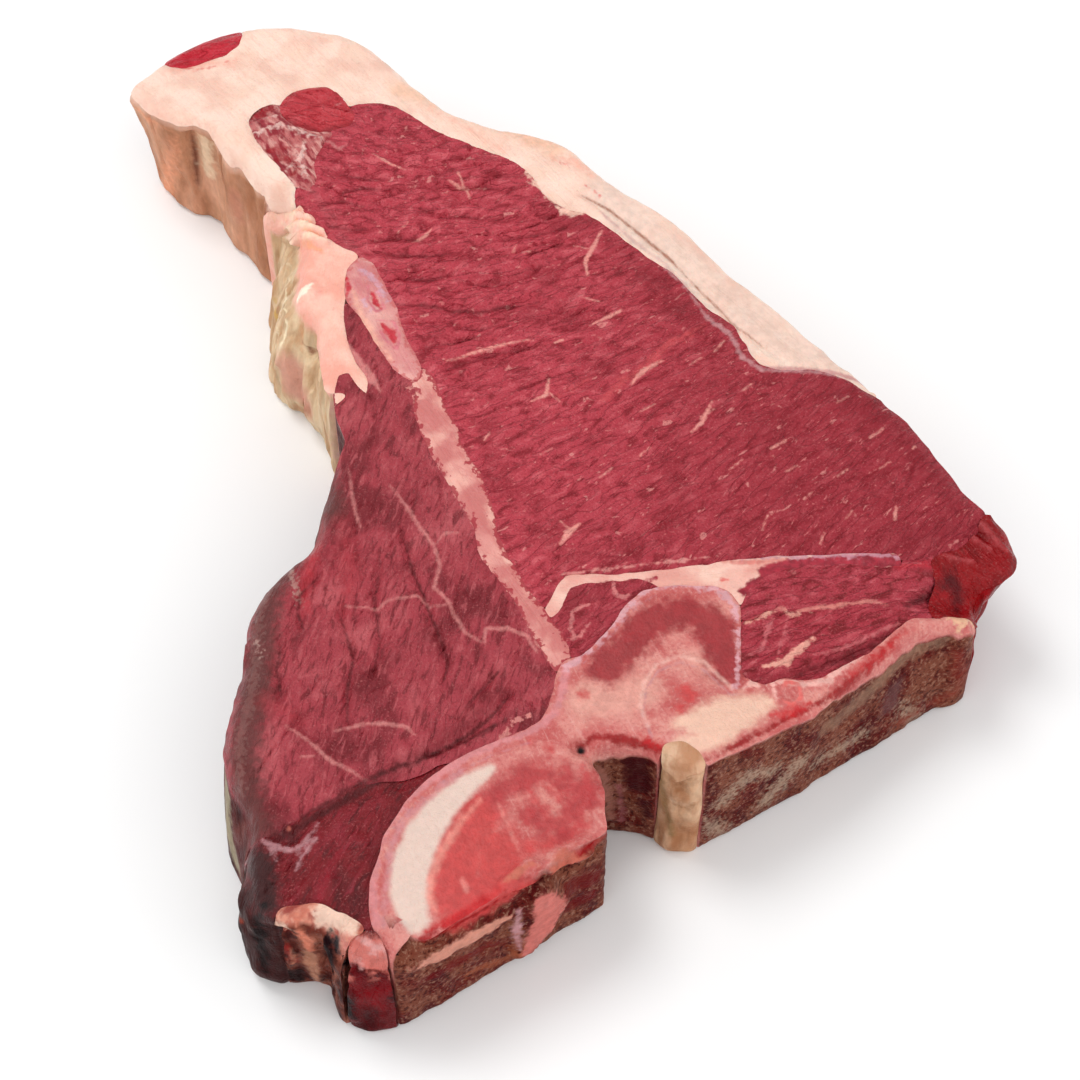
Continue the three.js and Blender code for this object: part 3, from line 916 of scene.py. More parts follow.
LOIN_VEINS = [
    fine(0.5, (602, 231), (594, 246), (585, 262), (588, 277)), fine(0.4, (588, 249), (574, 246)),
    fine(0.5, (622, 310), (607, 317), (590, 326)), fine(0.6, (662, 361), (643, 372), (631, 385)),
    fine(0.5, (549, 379), (546, 396), (531, 402)), fine(0.35, (546, 390), (560, 403)),
    fine(0.4, (579, 297), (599, 302)), fine(0.3, (446, 362), (472, 353), (497, 346), (530, 340)),
    fine(0.5, (513, 252), (517, 246)), fine(0.5, (522, 253), (531, 251)),
    fine(0.5, (413, 241), (425, 234), (432, 228)), fine(0.4, (458, 172), (464, 186), (470, 198)),
    fine(0.4, (448, 180), (462, 186), (480, 186)), fine(0.35, (372, 154), (388, 163), (405, 170)),
    fine(0.5, (714, 353), (724, 341)), fine(0.5, (712, 402), (701, 424), (691, 433)),
    fine(0.5, (700, 418), (714, 410)), fine(0.45, (484, 440), (490, 433)),
    fine(0.7, (771, 449), (786, 441)), fine(0.8, (870, 438), (883, 429)),
    fine(0.5, (786, 472), (797, 466)), fine(0.5, (845, 520), (852, 512)),
    fine(1.0, (895, 520), (896, 508)), fine(0.35, (803, 500), (812, 493)),
    fine(0.5, (836, 404), (848, 397)), fine(0.45, (880, 468), (890, 462)),
    fine(0.8, (560, 545), (568, 533), (580, 524)), fine(0.35, (571, 531), (560, 520)),
    fine(0.9, (555, 343), (563, 340)), fine(0.8, (913, 449), (915, 447)),
    fine(0.4, (762, 530), (768, 515)), fine(0.5, (820, 545), (824, 534)),
    fine(0.4, (730, 470), (742, 460)), fine(0.45, (640, 455), (650, 446)),
    fine(0.4, (600, 478), (612, 468)), fine(0.4, (690, 365), (702, 358)),
    fine(0.35, (540, 455), (552, 449)), fine(0.35, (398, 232), (408, 222)),
    fine(0.4, (640, 412), (655, 404)), fine(0.4, (742, 392), (752, 384)),
    fine(0.4, (836, 478), (848, 470)),
]
LOIN_CREASES = [
    fine(0.5, (396, 302), (423, 303), (450, 307), (478, 310), (503, 305), (538, 299)),
    fine(0.6, (405, 277), (427, 278), (453, 273)),
    fine(0.4, (375, 250), (400, 253), (430, 254), (458, 251)),
    fine(0.45, (453, 187), (476, 185), (499, 187)), fine(0.45, (340, 191), (363, 186), (389, 188)),
    fine(0.4, (340, 172), (368, 177), (389, 177)), fine(0.4, (322, 202), (345, 200), (363, 205)),
    fine(0.4, (375, 239), (402, 237), (425, 239)), fine(0.35, (503, 238), (538, 233), (565, 226)),
    fine(0.35, (519, 220), (551, 215)), fine(0.25, (446, 368), (472, 359), (497, 352), (530, 346)),
    fine(0.35, (330, 224), (352, 228), (368, 226)), fine(0.3, (440, 217), (462, 214), (481, 216)),
    fine(0.25, (455, 325), (480, 327), (500, 322)), fine(0.25, (470, 282), (492, 284), (510, 280)),
    fine(0.25, (425, 345), (455, 340), (490, 330)),
]
LOIN_MUSCLE_MARKS = [
    # Painted shade over the right end of the large muscle and along two bands.
    mark("rightward_shade", (128, 30, 44), broad(2.0, (905, 440), (940, 485), (965, 525), (900, 545)),
        broad(0.2, (545, 200), (600, 235), (650, 275), (700, 330)), broad(1, (830, 392), (880, 420)),
        soft=6, ragged=1.5, strength=0.55),
    mark("haze", (176, 92, 96), broad(0.3, (300, 170), (335, 225), (360, 262), (395, 335), (415, 370)),
        soft=3, ragged=1.5, strength=0.5),
    mark("strand", (218, 142, 140), fine(0.35, (316, 136), (328, 142), (338, 150), (346, 147)),
        fine(0.45, (306, 150), (299, 165), (304, 182), (312, 192)), fine(0.3, (300, 168), (310, 172)),
        ragged=0.35, grain=1.2, strength=0.8, rise=0.2),
    mark("bright", (206, 84, 88), fine(0.8, (704, 326), (671, 343), (643, 369), (620, 383), (602, 402)),
        fine(0.6, (560, 395), (590, 380)), fine(0.5, (730, 350), (760, 340)), soft=1.0, ragged=1.0,
        strength=0.65, rise=0.3),
    mark("vein", (236, 156, 146), *LOIN_VEINS, soft=0.35, ragged=0.25, grain=0.9, strength=0.95,
        rise=0.2),
    # Creases: grooves whose dark colour is painted shade.
    mark("crease", (98, 16, 30), *LOIN_CREASES, soft=0.6, ragged=0.25, strength=0.75, rise=-1.0,
        spread=0.9),
    mark("bleed", (228, 148, 142), fine(0.3, (560, 575), (600, 570), (660, 563), (720, 556)), soft=0.4,
        grain=1.8, strength=0.9, rise=0.2),
    mark("lobe", (240, 190, 172), fine(0.9, (536, 178), (548, 196), (560, 204)),
        fine(1.3, (556, 208), (572, 214), (584, 212)), fine(0.8, (526, 172), (534, 184), (546, 190)),
        rise=0.4),
    mark("silver", (196, 138, 140), broad(0.25, (600, 214), (626, 236), (660, 262), (688, 290),
        (706, 318)), broad(0.55, (706, 318), (730, 335), (742, 358), (762, 370), (800, 371), (836, 375),
        (862, 384)), ragged=0.5, strength=0.9, rise=0.15),
]

# Tenderloin

TENDERLOIN_VEINS = [
    fine(0.32, (390, 486), (406, 507), (420, 529), (434, 546), (440, 566), (434, 588), (448, 602),
        (454, 616), (465, 633), (484, 644)),
    fine(0.3, (345, 607), (378, 609), (390, 600), (420, 597), (429, 607), (448, 607)),
    fine(0.4, (484, 644), (486, 630), (507, 628), (527, 636), (538, 653)),
    fine(0.35, (333, 731), (361, 724), (384, 723), (406, 726), (415, 734)),
    fine(0.35, (286, 726), (311, 744), (331, 761), (347, 768), (367, 778)),
    fine(0.3, (349, 470), (353, 501), (357, 518), (361, 527)), fine(0.5, (300, 757), (314, 757)),
    fine(0.35, (434, 546), (446, 534), (458, 534)),
    fine(0.7, (345, 340), (358, 360), (368, 378), (382, 392)),
    fine(0.8, (366, 366), (372, 378), (380, 390)),
]
TENDERLOIN_CRACKS = [
    fine(0.3, (404, 538), (412, 569), (423, 594), (429, 611), (446, 653), (448, 667), (443, 681)),
    fine(0.3, (339, 611), (347, 636), (353, 658), (347, 689), (347, 720)),
    fine(0.35, (319, 574), (300, 594), (297, 611), (303, 628)),
    fine(0.2, (380, 560), (374, 600), (380, 640), (372, 676)),
    fine(0.4, (512, 690), (490, 714), (462, 735), (430, 752)),
    fine(0.25, (500, 668), (478, 690), (458, 716)), fine(0.25, (282, 640), (276, 668), (282, 700)),
]
SEAM_LEFT = broad(0.4, (412, 388), (424, 420), (434, 450), (450, 480), (470, 515), (486, 545), (506, 580),
    (524, 610), (540, 645))
TENDERLOIN_MARKS = [
    mark("dry", (100, 56, 54), broad(3.4, (338, 460), (328, 510), (308, 545), (282, 575), (266, 605),
        (260, 650), (253, 700), (243, 750), (248, 800), (256, 830)), soft=2.4, ragged=1.5, strength=0.9),
    # Greyish painted highlights speckled over the dry left edge.
    mark("grey_highlight", (150, 108, 102), broad(1.0, (286, 562), (268, 590), (258, 620), (254, 680), (240, 740),
        (240, 790)), ragged=1.8, grain=0.9, strength=0.35),
    mark("shade", (104, 22, 34), fine(1.0, (500, 690), (470, 720), (430, 748), (380, 772)),
        fine(1.2, (300, 830), (350, 795), (400, 772)), soft=3, ragged=1.2, strength=0.6),
    mark("dust", (190, 150, 140), fine(0.6, (290, 570), (296, 590), (302, 604)),
        fine(0.5, (256, 642), (262, 656)), soft=0.6, ragged=1.4, grain=0.9, strength=0.7),
    mark("bright", (176, 44, 54), fine(2.0, (340, 520), (350, 570), (345, 610)),
        fine(2, (262, 700), (300, 720)), soft=3, ragged=1.2, strength=0.35),
    mark("ember", (190, 50, 58), fine(1.2, (322, 520), (312, 556), (304, 590), (306, 612)), soft=1.6,
        ragged=1.2, strength=0.5),
    mark("vein", (216, 138, 134), *TENDERLOIN_VEINS, soft=0.45, ragged=0.28, grain=1.1, strength=0.75,
        rise=0.2),
    # Cracks: grooves whose dark colour is painted shade.
    mark("crease", (90, 8, 22), *TENDERLOIN_CRACKS, soft=0.4, ragged=0.25, strength=0.9, rise=-0.9,
        spread=0.8),
    mark("bleed", (214, 134, 128), SEAM_LEFT, fine(0.7, (528, 716), (512, 722), (500, 745)), soft=0.35,
        ragged=1.3, grain=1.4, strength=0.9, rise=0.2),
    # The cleft between the two muscles: a groove with painted shade along it.
    mark("cleft", (84, 8, 20), fine(0.6, (262, 840), (290, 826), (330, 800), (380, 772), (420, 758),
        (470, 736), (505, 718)), soft=0.9, ragged=0.6, strength=0.95, rise=-0.7, spread=2.5),
    mark("cap", (160, 146, 122), broad(3.0, (226, 780), (227, 805), (230, 830), (236, 860)), soft=1.5,
        ragged=1, where="wall"),
]

# Small muscle below the tenderloin

LOWER_MUSCLE_MARKS = [
    mark("crust", (64, 38, 38), broad(3.2, (258, 862), (264, 905), (268, 950), (276, 975)),
        broad(3.0, (250, 900), (256, 960)), soft=2.0, ragged=1.4, strength=0.95, rise=0.6, spread=2),
    mark("cap", (164, 150, 128), broad(2.0, (229, 846), (233, 870), (238, 900)), soft=1.2, ragged=1,
        where="wall"),
    mark("black", (34, 18, 20), fine(1.6, (264, 905), (262, 935), (268, 965)), soft=0.8, ragged=1.2,
        strength=0.9),
    # The cleft between the two muscles: a groove with painted shade along it.
    mark("cleft", (84, 8, 20), fine(0.9, (262, 845), (290, 832), (330, 806), (380, 778), (420, 764),
        (470, 742), (505, 722)), soft=0.9, ragged=0.6, strength=0.95, rise=-0.7, spread=2.5),
    mark("shade", (96, 12, 26), fine(1.2, (400, 800), (375, 850), (372, 900)),
        fine(0.8, (330, 880), (310, 900)), soft=2.0, ragged=1, strength=0.6),
    mark("bright", (156, 36, 52), fine(1.0, (340, 850), (325, 880), (318, 905)), soft=1.5, ragged=1,
        strength=0.6),
    mark("film", (190, 136, 140), fine(0.55, (244, 842), (262, 840), (278, 848), (296, 851), (306, 842),
        (318, 822)), fine(0.6, (266, 842), (274, 852), (276, 862)),
        fine(0.4, (318, 838), (306, 852), (296, 872)), ragged=0.6, grain=1.2, strength=0.85, rise=0.4),
    mark("bead", (176, 96, 84), fine(0.8, (262, 834), (264, 836)), fine(0.8, (288, 827), (289, 830)),
        soft=0.4, ragged=0.3, rise=0.8),
    mark("drip", (140, 52, 24), fine(0.7, (243, 888), (242, 915), (241, 938)), soft=0.4, ragged=0.4,
        where="wall"),
]

# Small muscle above the arch

SEAM_MUSCLE_MARKS = [
    mark("vein", (216, 130, 128), fine(0.4, (577, 641), (571, 628), (572, 612), (582, 606), (590, 604)),
        fine(0.45, (612, 582), (614, 592), (622, 598), (632, 594)),
        fine(0.35, (566, 640), (580, 636), (590, 622)), soft=0.3, ragged=0.4, grain=1.0, strength=0.85,
        rise=0.3),
    mark("bleed", (232, 156, 146), fine(1.0, (562, 575), (556, 590), (550, 612)),
        fine(0.6, (566, 574), (600, 574), (640, 572), (662, 570)), rise=0.4),
]

# Upper muscle beside the spinous process

BACK_MUSCLE_UPPER_MARKS = [
    # A hollow: sunk, its dark colour painted shade.
    mark("cavity", (84, 10, 24), fine(0.9, (908, 604), (930, 594), (946, 578)),
        broad(1.5, (950, 580), (954, 606)), soft=1.2, ragged=0.6, rise=-1.0, spread=1.4),
    mark("bright", (186, 40, 52), fine(0.8, (895, 568), (930, 566), (955, 566)), soft=1.2, strength=0.7,
        rise=0.5),
    mark("line", (188, 92, 98), fine(0.3, (800, 567), (840, 563), (880, 563), (920, 565)), soft=0.3,
        ragged=0.3, strength=0.8),
    mark("bleed", (214, 130, 122), fine(0.4, (745, 622), (762, 618), (782, 607), (788, 616), (802, 611),
        (832, 607), (870, 602), (888, 606)), soft=0.4, ragged=0.6, strength=0.9, rise=0.5, spread=0.9),
]

# Lower muscle beside the spinous process

BACK_MUSCLE_LOWER_MARKS = [
    mark("shade", (98, 12, 28), fine(1.0, (800, 672), (840, 658), (880, 640), (905, 625)),
        fine(1.0, (748, 612), (752, 604)), soft=1.4, strength=0.85, rise=-0.9, spread=1.6),
    mark("vein", (234, 164, 148), fine(0.9, (764, 668), (785, 662), (800, 649), (813, 638)),
        fine(0.4, (745, 622), (762, 618), (782, 607), (788, 616), (802, 611), (832, 607), (870, 602),
        (888, 606)), soft=0.4, ragged=0.6, grain=1.3, strength=0.95, rise=0.5),
    mark("line", (206, 110, 114), fine(0.35, (812, 655), (840, 648), (870, 636), (898, 622)),
        fine(0.4, (745, 656), (762, 650), (768, 630), (774, 618)),
        fine(0.3, (788, 618), (782, 640), (778, 655)), fine(0.4, (745, 676), (756, 660)), soft=0.4,
        ragged=0.5, strength=0.85, rise=0.35),
]

# Round muscle in the fat end

TAIL_MUSCLE_MARKS = [
    mark("shade", (118, 20, 32), fine(0.8, (284, 118), (300, 127), (325, 131), (350, 122)), soft=1.4,
        ragged=0.6, strength=0.8, rise=-0.5, spread=1.5),
    mark("vein", (206, 116, 116), fine(0.4, (334, 106), (343, 103)), soft=0.3, ragged=0.3),
]

# Torn flap at the right end

SIDE_FLAP_MARKS = [
    # Painted highlights along the raised folds.
    mark("fold", (198, 92, 96), fine(0.4, (940, 500), (962, 512), (984, 528), (1006, 552)),
        fine(0.35, (950, 528), (970, 536), (990, 550)), fine(0.4, (985, 508), (1000, 520), (1008, 536)),
        fine(0.35, (945, 556), (972, 562)), soft=0.9, ragged=0.4, strength=0.7, rise=0.6),
    # A crease between the folds: sunk, its dark colour painted shade.
    mark("crease", (104, 4, 18), fine(0.4, (948, 514), (968, 524), (990, 540)), soft=1.0, ragged=0.5,
        strength=0.6, rise=-0.5),
    # A hollow: sunk a little, its dark colour painted shade.
    mark("cavity", (96, 4, 22), fine(1.6, (940, 588), (950, 580), (958, 590), (956, 612)), soft=1.4,
        rise=-0.2, spread=2),
    mark("deep", (142, 2, 14), fine(1.6, (972, 570), (974, 600), (976, 620)), soft=1.2, ragged=0.6,
        strength=0.85),
]

# Hanging flap at the lower end

END_FLAP_MARKS = [
    mark("film", (206, 112, 102), broad(3.0, (352, 945), (370, 955), (390, 962)),
        fine(1.6, (348, 965), (352, 976)), fine(1.5, (372, 968), (374, 980)),
        fine(1.2, (392, 966), (396, 978)), soft=1.0, ragged=1.4, grain=2.2, rise=0.6, spread=2),
    # Painted highlights on the pink membrane.
    mark("film_highlight", (222, 164, 160), fine(0.8, (360, 942), (372, 948), (386, 950)),
        fine(0.5, (350, 960), (362, 966)), soft=0.9, ragged=1.0, strength=0.8, rise=0.3),
    mark("clot", (40, 5, 15), broad(2.6, (402, 992), (412, 1002)), broad(1.8, (344, 995), (348, 1012)),
        soft=1.2, ragged=1.0, rise=0.6, spread=2),
]

# Fat cap and fat end

FAT_CAP_MARKS = [
    mark("tan", (236, 188, 160), broad(2.6, (400, 88), (440, 102), (480, 116), (520, 132), (556, 150)),
        soft=2.2, ragged=1.2, strength=0.75),
    mark("ash", (226, 198, 184), broad(4.0, (600, 190), (660, 240), (720, 290), (780, 345), (850, 376)),
        soft=2.5, ragged=1.2, strength=0.6),
    mark("inner", (240, 214, 198), broad(0.8, (600, 208), (640, 240), (680, 275), (715, 312), (745, 345),
        (790, 365)), soft=1.0, strength=0.7),
    # A crease: sunk, its dark brown colour painted shade.
    mark("crease", (150, 86, 62), fine(0.35, (582, 194), (612, 210), (640, 232), (668, 256), (684, 272)),
        fine(0.2, (684, 272), (712, 300), (735, 325), (762, 345)), soft=0.4, ragged=0.2, strength=0.85,
        rise=-0.7, spread=0.9),
    mark("silver", (198, 140, 138), broad(0.3, (600, 212), (626, 234), (660, 260), (688, 288),
        (706, 316)), broad(0.6, (706, 316), (728, 334), (740, 356), (762, 368), (800, 369), (836, 373),
        (862, 382)), ragged=0.4, strength=0.85),
    mark("grey", (222, 196, 184), broad(0.6, (608, 222), (650, 252), (690, 292), (720, 330), (750, 352)),
        soft=1.6, ragged=1.0, strength=0.7),
    mark("flush", (240, 168, 148), fine(1.6, (556, 158), (578, 164), (592, 176)),
        fine(1.6, (165, 72), (200, 64), (232, 62)), fine(0.8, (262, 140), (272, 128), (282, 108)),
        fine(0.5, (430, 108), (470, 130), (505, 150)), soft=1.6, ragged=1.2, strength=0.6),
    mark("mark", (222, 112, 106), fine(0.6, (259, 61), (260, 63)), fine(0.5, (371, 82), (372, 83)),
        fine(0.45, (178, 67), (198, 70), (215, 66)), fine(0.35, (224, 62), (232, 60)),
        fine(0.5, (560, 162), (570, 168)), fine(0.35, (585, 186), (600, 196)), soft=0.4, ragged=0.6,
        strength=0.75),
    # A slit in the wall: sunk, its dark brown painted shade.
    mark("slit", (92, 40, 28), fine(0.7, (191, 134), (195, 160), (197, 188)), soft=0.8, ragged=0.3,
        strength=0.9, rise=-1.6, spread=1.4, where="wall"),
    # Folds in the wall: sunk, their darker tan painted shade.
    mark("fold", (188, 130, 98), fine(0.4, (178, 130), (184, 165), (186, 195)),
        fine(0.5, (216, 150), (222, 190), (224, 215)), fine(0.7, (250, 180), (256, 215), (262, 250)),
        soft=1.2, ragged=0.5, strength=0.6, rise=-0.7, spread=1.4, where="wall"),
    mark("orange", (240, 166, 132), broad(2.6, (140, 110), (152, 150), (166, 188)), soft=2.5, ragged=1,
        strength=0.8, where="wall"),
    mark("cream", (236, 208, 176), broad(2.0, (206, 140), (208, 170)), soft=1.6, ragged=1.2, strength=0.7,
        where="wall"),
    mark("stain", (190, 128, 108), broad(2.0, (236, 195), (240, 215)), soft=2, ragged=1, strength=0.7,
        where="wall"),
]

# Stringy seam beside the round muscle

TAIL_SEAM_FAT_MARKS = [
    mark("red", (160, 34, 46), fine(1.3, (250, 116), (262, 112), (270, 108)),
        fine(1.2, (268, 160), (285, 156), (296, 165)), fine(0.9, (262, 150), (276, 148), (290, 146)),
        fine(1.0, (285, 176), (300, 166)), soft=0.9, ragged=1.2, strength=0.8, rise=-0.5, spread=1),
    mark("white", (236, 196, 186), fine(0.5, (252, 135), (280, 128), (305, 135), (320, 140)),
        fine(0.5, (305, 145), (300, 160), (308, 180)), fine(0.4, (285, 170), (296, 160), (304, 150)),
        fine(0.5, (262, 122), (280, 118)), soft=0.6, ragged=1.0, grain=1.2, strength=0.8, rise=0.5),
]

# Loose fat on the left edge

KIDNEY_FAT_MARKS = [
    # Painted highlights on the raised rolls of fat.
    mark("folds", (246, 212, 186), fine(0.8, (264, 207), (282, 205), (300, 207)),
        fine(0.8, (270, 217), (292, 217), (310, 221)), fine(0.8, (280, 228), (302, 228), (322, 233)),
        fine(0.8, (288, 239), (308, 239), (326, 244)), soft=0.6, ragged=0.4, rise=1.7, spread=0.8),
    # The clefts between the rolls: sunk, their orange colour painted shade.
    mark("orange", (238, 164, 118), fine(0.3, (266, 212), (286, 211), (306, 214)),
        fine(0.3, (274, 222.5), (296, 222), (316, 227)), fine(0.3, (284, 233.5), (304, 233), (324, 239)),
        fine(0.4, (294, 246), (310, 246), (322, 250)), ragged=0.3, strength=0.8, rise=-0.7, spread=0.6),
    mark("flush", (246, 152, 140), fine(0.8, (298, 278), (306, 277)), fine(0.8, (316, 300), (320, 290)),
        soft=1.4, strength=0.6),
    mark("white", (250, 232, 212), fine(1.3, (298, 300), (304, 292), (312, 284)), ragged=0.7, rise=0.3),
    mark("yellow", (204, 164, 84), fine(0.8, (276, 300), (278, 312), (277, 325)), soft=1.0, ragged=0.7,
        strength=0.8, where="wall"),
    mark("brown", (204, 142, 100), fine(1.4, (300, 322), (302, 345)), soft=1.4, strength=0.8),
    mark("strand", (246, 228, 194), fine(0.5, (288, 262), (286, 300), (282, 345)),
        fine(0.5, (292, 290), (290, 325), (286, 360)), ragged=0.5, rise=0.5, where="wall"),
    mark("lobe", (214, 158, 138), broad(4.0, (296, 364), (302, 384), (312, 398)), soft=2.2, ragged=0.5,
        rise=1.8, spread=3, vary=0.05, where="wall"),
    mark("lobe_foot", (170, 112, 84), broad(1.0, (300, 408), (318, 410)), soft=2.0, strength=0.7,
        where="wall"),
    mark("toe", (226, 178, 168), broad(1.6, (330, 396), (336, 430), (338, 462)), soft=1.0, ragged=0.6,
        strength=0.9, where="wall"),
    # A crease: sunk, its dark brown colour painted shade.
    mark("crease", (124, 62, 44), fine(0.5, (302, 344), (312, 352), (318, 366), (321, 384)), ragged=0.4,
        strength=0.85, rise=-0.8, spread=0.9),
]

# Fat above the arch

FACET_FAT_MARKS = [
    mark("flesh", (160, 54, 66), broad(1.7, (766, 573), (790, 566), (850, 561), (935, 561)),
        broad(1.2, (744, 592), (754, 584), (775, 576)), broad(0.5, (600, 584), (640, 582), (655, 578)),
        soft=0.4, ragged=0.6, vary=0.3),
    mark("ridge", (214, 132, 122), fine(0.7, (716, 561), (750, 564), (785, 560)), ragged=0.4, rise=0.4),
    mark("film", (200, 142, 154), fine(0.7, (740, 559), (790, 557), (830, 555), (870, 554), (915, 558)),
        grain=1.2, strength=0.85, rise=0.1),
    mark("red", (214, 78, 76), fine(0.8, (722, 580), (727, 580)), ragged=0.6),
]

# Loose fat at the lower end

END_FAT_MARKS = [
    mark("cream", (238, 200, 180), broad(2.0, (324, 915), (336, 917), (350, 928)),
        fine(0.9, (280, 920), (292, 922)), soft=0.8, ragged=1.0, rise=1.0, spread=2.0, vary=0.05),
    mark("pink", (216, 128, 104), fine(1.8, (298, 922), (306, 932), (312, 942)), soft=1.0, rise=0.6,
        spread=1.5),
    mark("red", (158, 52, 50), fine(1.2, (276, 928), (286, 932)), fine(1.2, (286, 945), (296, 960)),
        soft=1.0, rise=-0.6, spread=1.2),
    mark("drape", (176, 122, 100), fine(1.8, (308, 942), (312, 958), (318, 976)),
        fine(0.8, (292, 948), (294, 960)), soft=0.8, ragged=0.7, rise=1.0, spread=1.2),
    mark("crust", (44, 20, 20), broad(2.0, (262, 940), (272, 975)),
        fine(1.2, (284, 968), (300, 978), (310, 984)), soft=1.2, ragged=1.2, where="wall"),
    mark("clot", (40, 4, 14), fine(2.2, (332, 936), (335, 952), (334, 976)), soft=0.8, ragged=0.9,
        rise=0.5, spread=1.5),
    mark("film", (210, 124, 112), fine(1.6, (342, 940), (352, 950), (364, 952)), soft=0.8, ragged=1.0,
        rise=0.5),
    mark("scrap", (222, 196, 182), fine(0.6, (278, 971), (288, 967)), soft=0.3, ragged=0.6, where="wall"),
]

# Transverse process with its cartilage

FINGER_BONE_MARKS = [
    mark("cream", (240, 178, 158), fine(0.9, (352, 288), (362, 318), (376, 340), (392, 360)), soft=0.8,
        ragged=0.6, strength=0.8),
    mark("ring", (210, 120, 128), fine(0.3, (368, 286), (368, 300), (376, 312), (384, 308), (380, 294),
        (370, 285)), fine(0.3, (376, 320), (394, 322), (400, 336), (397, 350), (384, 338), (376, 322)),
        soft=0.35, ragged=0.3, rise=0.2),
    mark("marrow", (196, 62, 72), fine(0.7, (372, 292), (376, 302), (381, 308)),
        fine(1.2, (382, 324), (391, 332), (394, 344)), fine(0.7, (346, 276), (349, 286), (347, 296)),
        soft=0.4, ragged=0.5, rise=-0.3),
    mark("gristle", (212, 168, 184), fine(0.9, (362, 270), (376, 282), (388, 302)),
        fine(0.6, (362, 300), (372, 314)), soft=0.8, ragged=1.2, strength=0.7),
]

# Sawn half vertebra

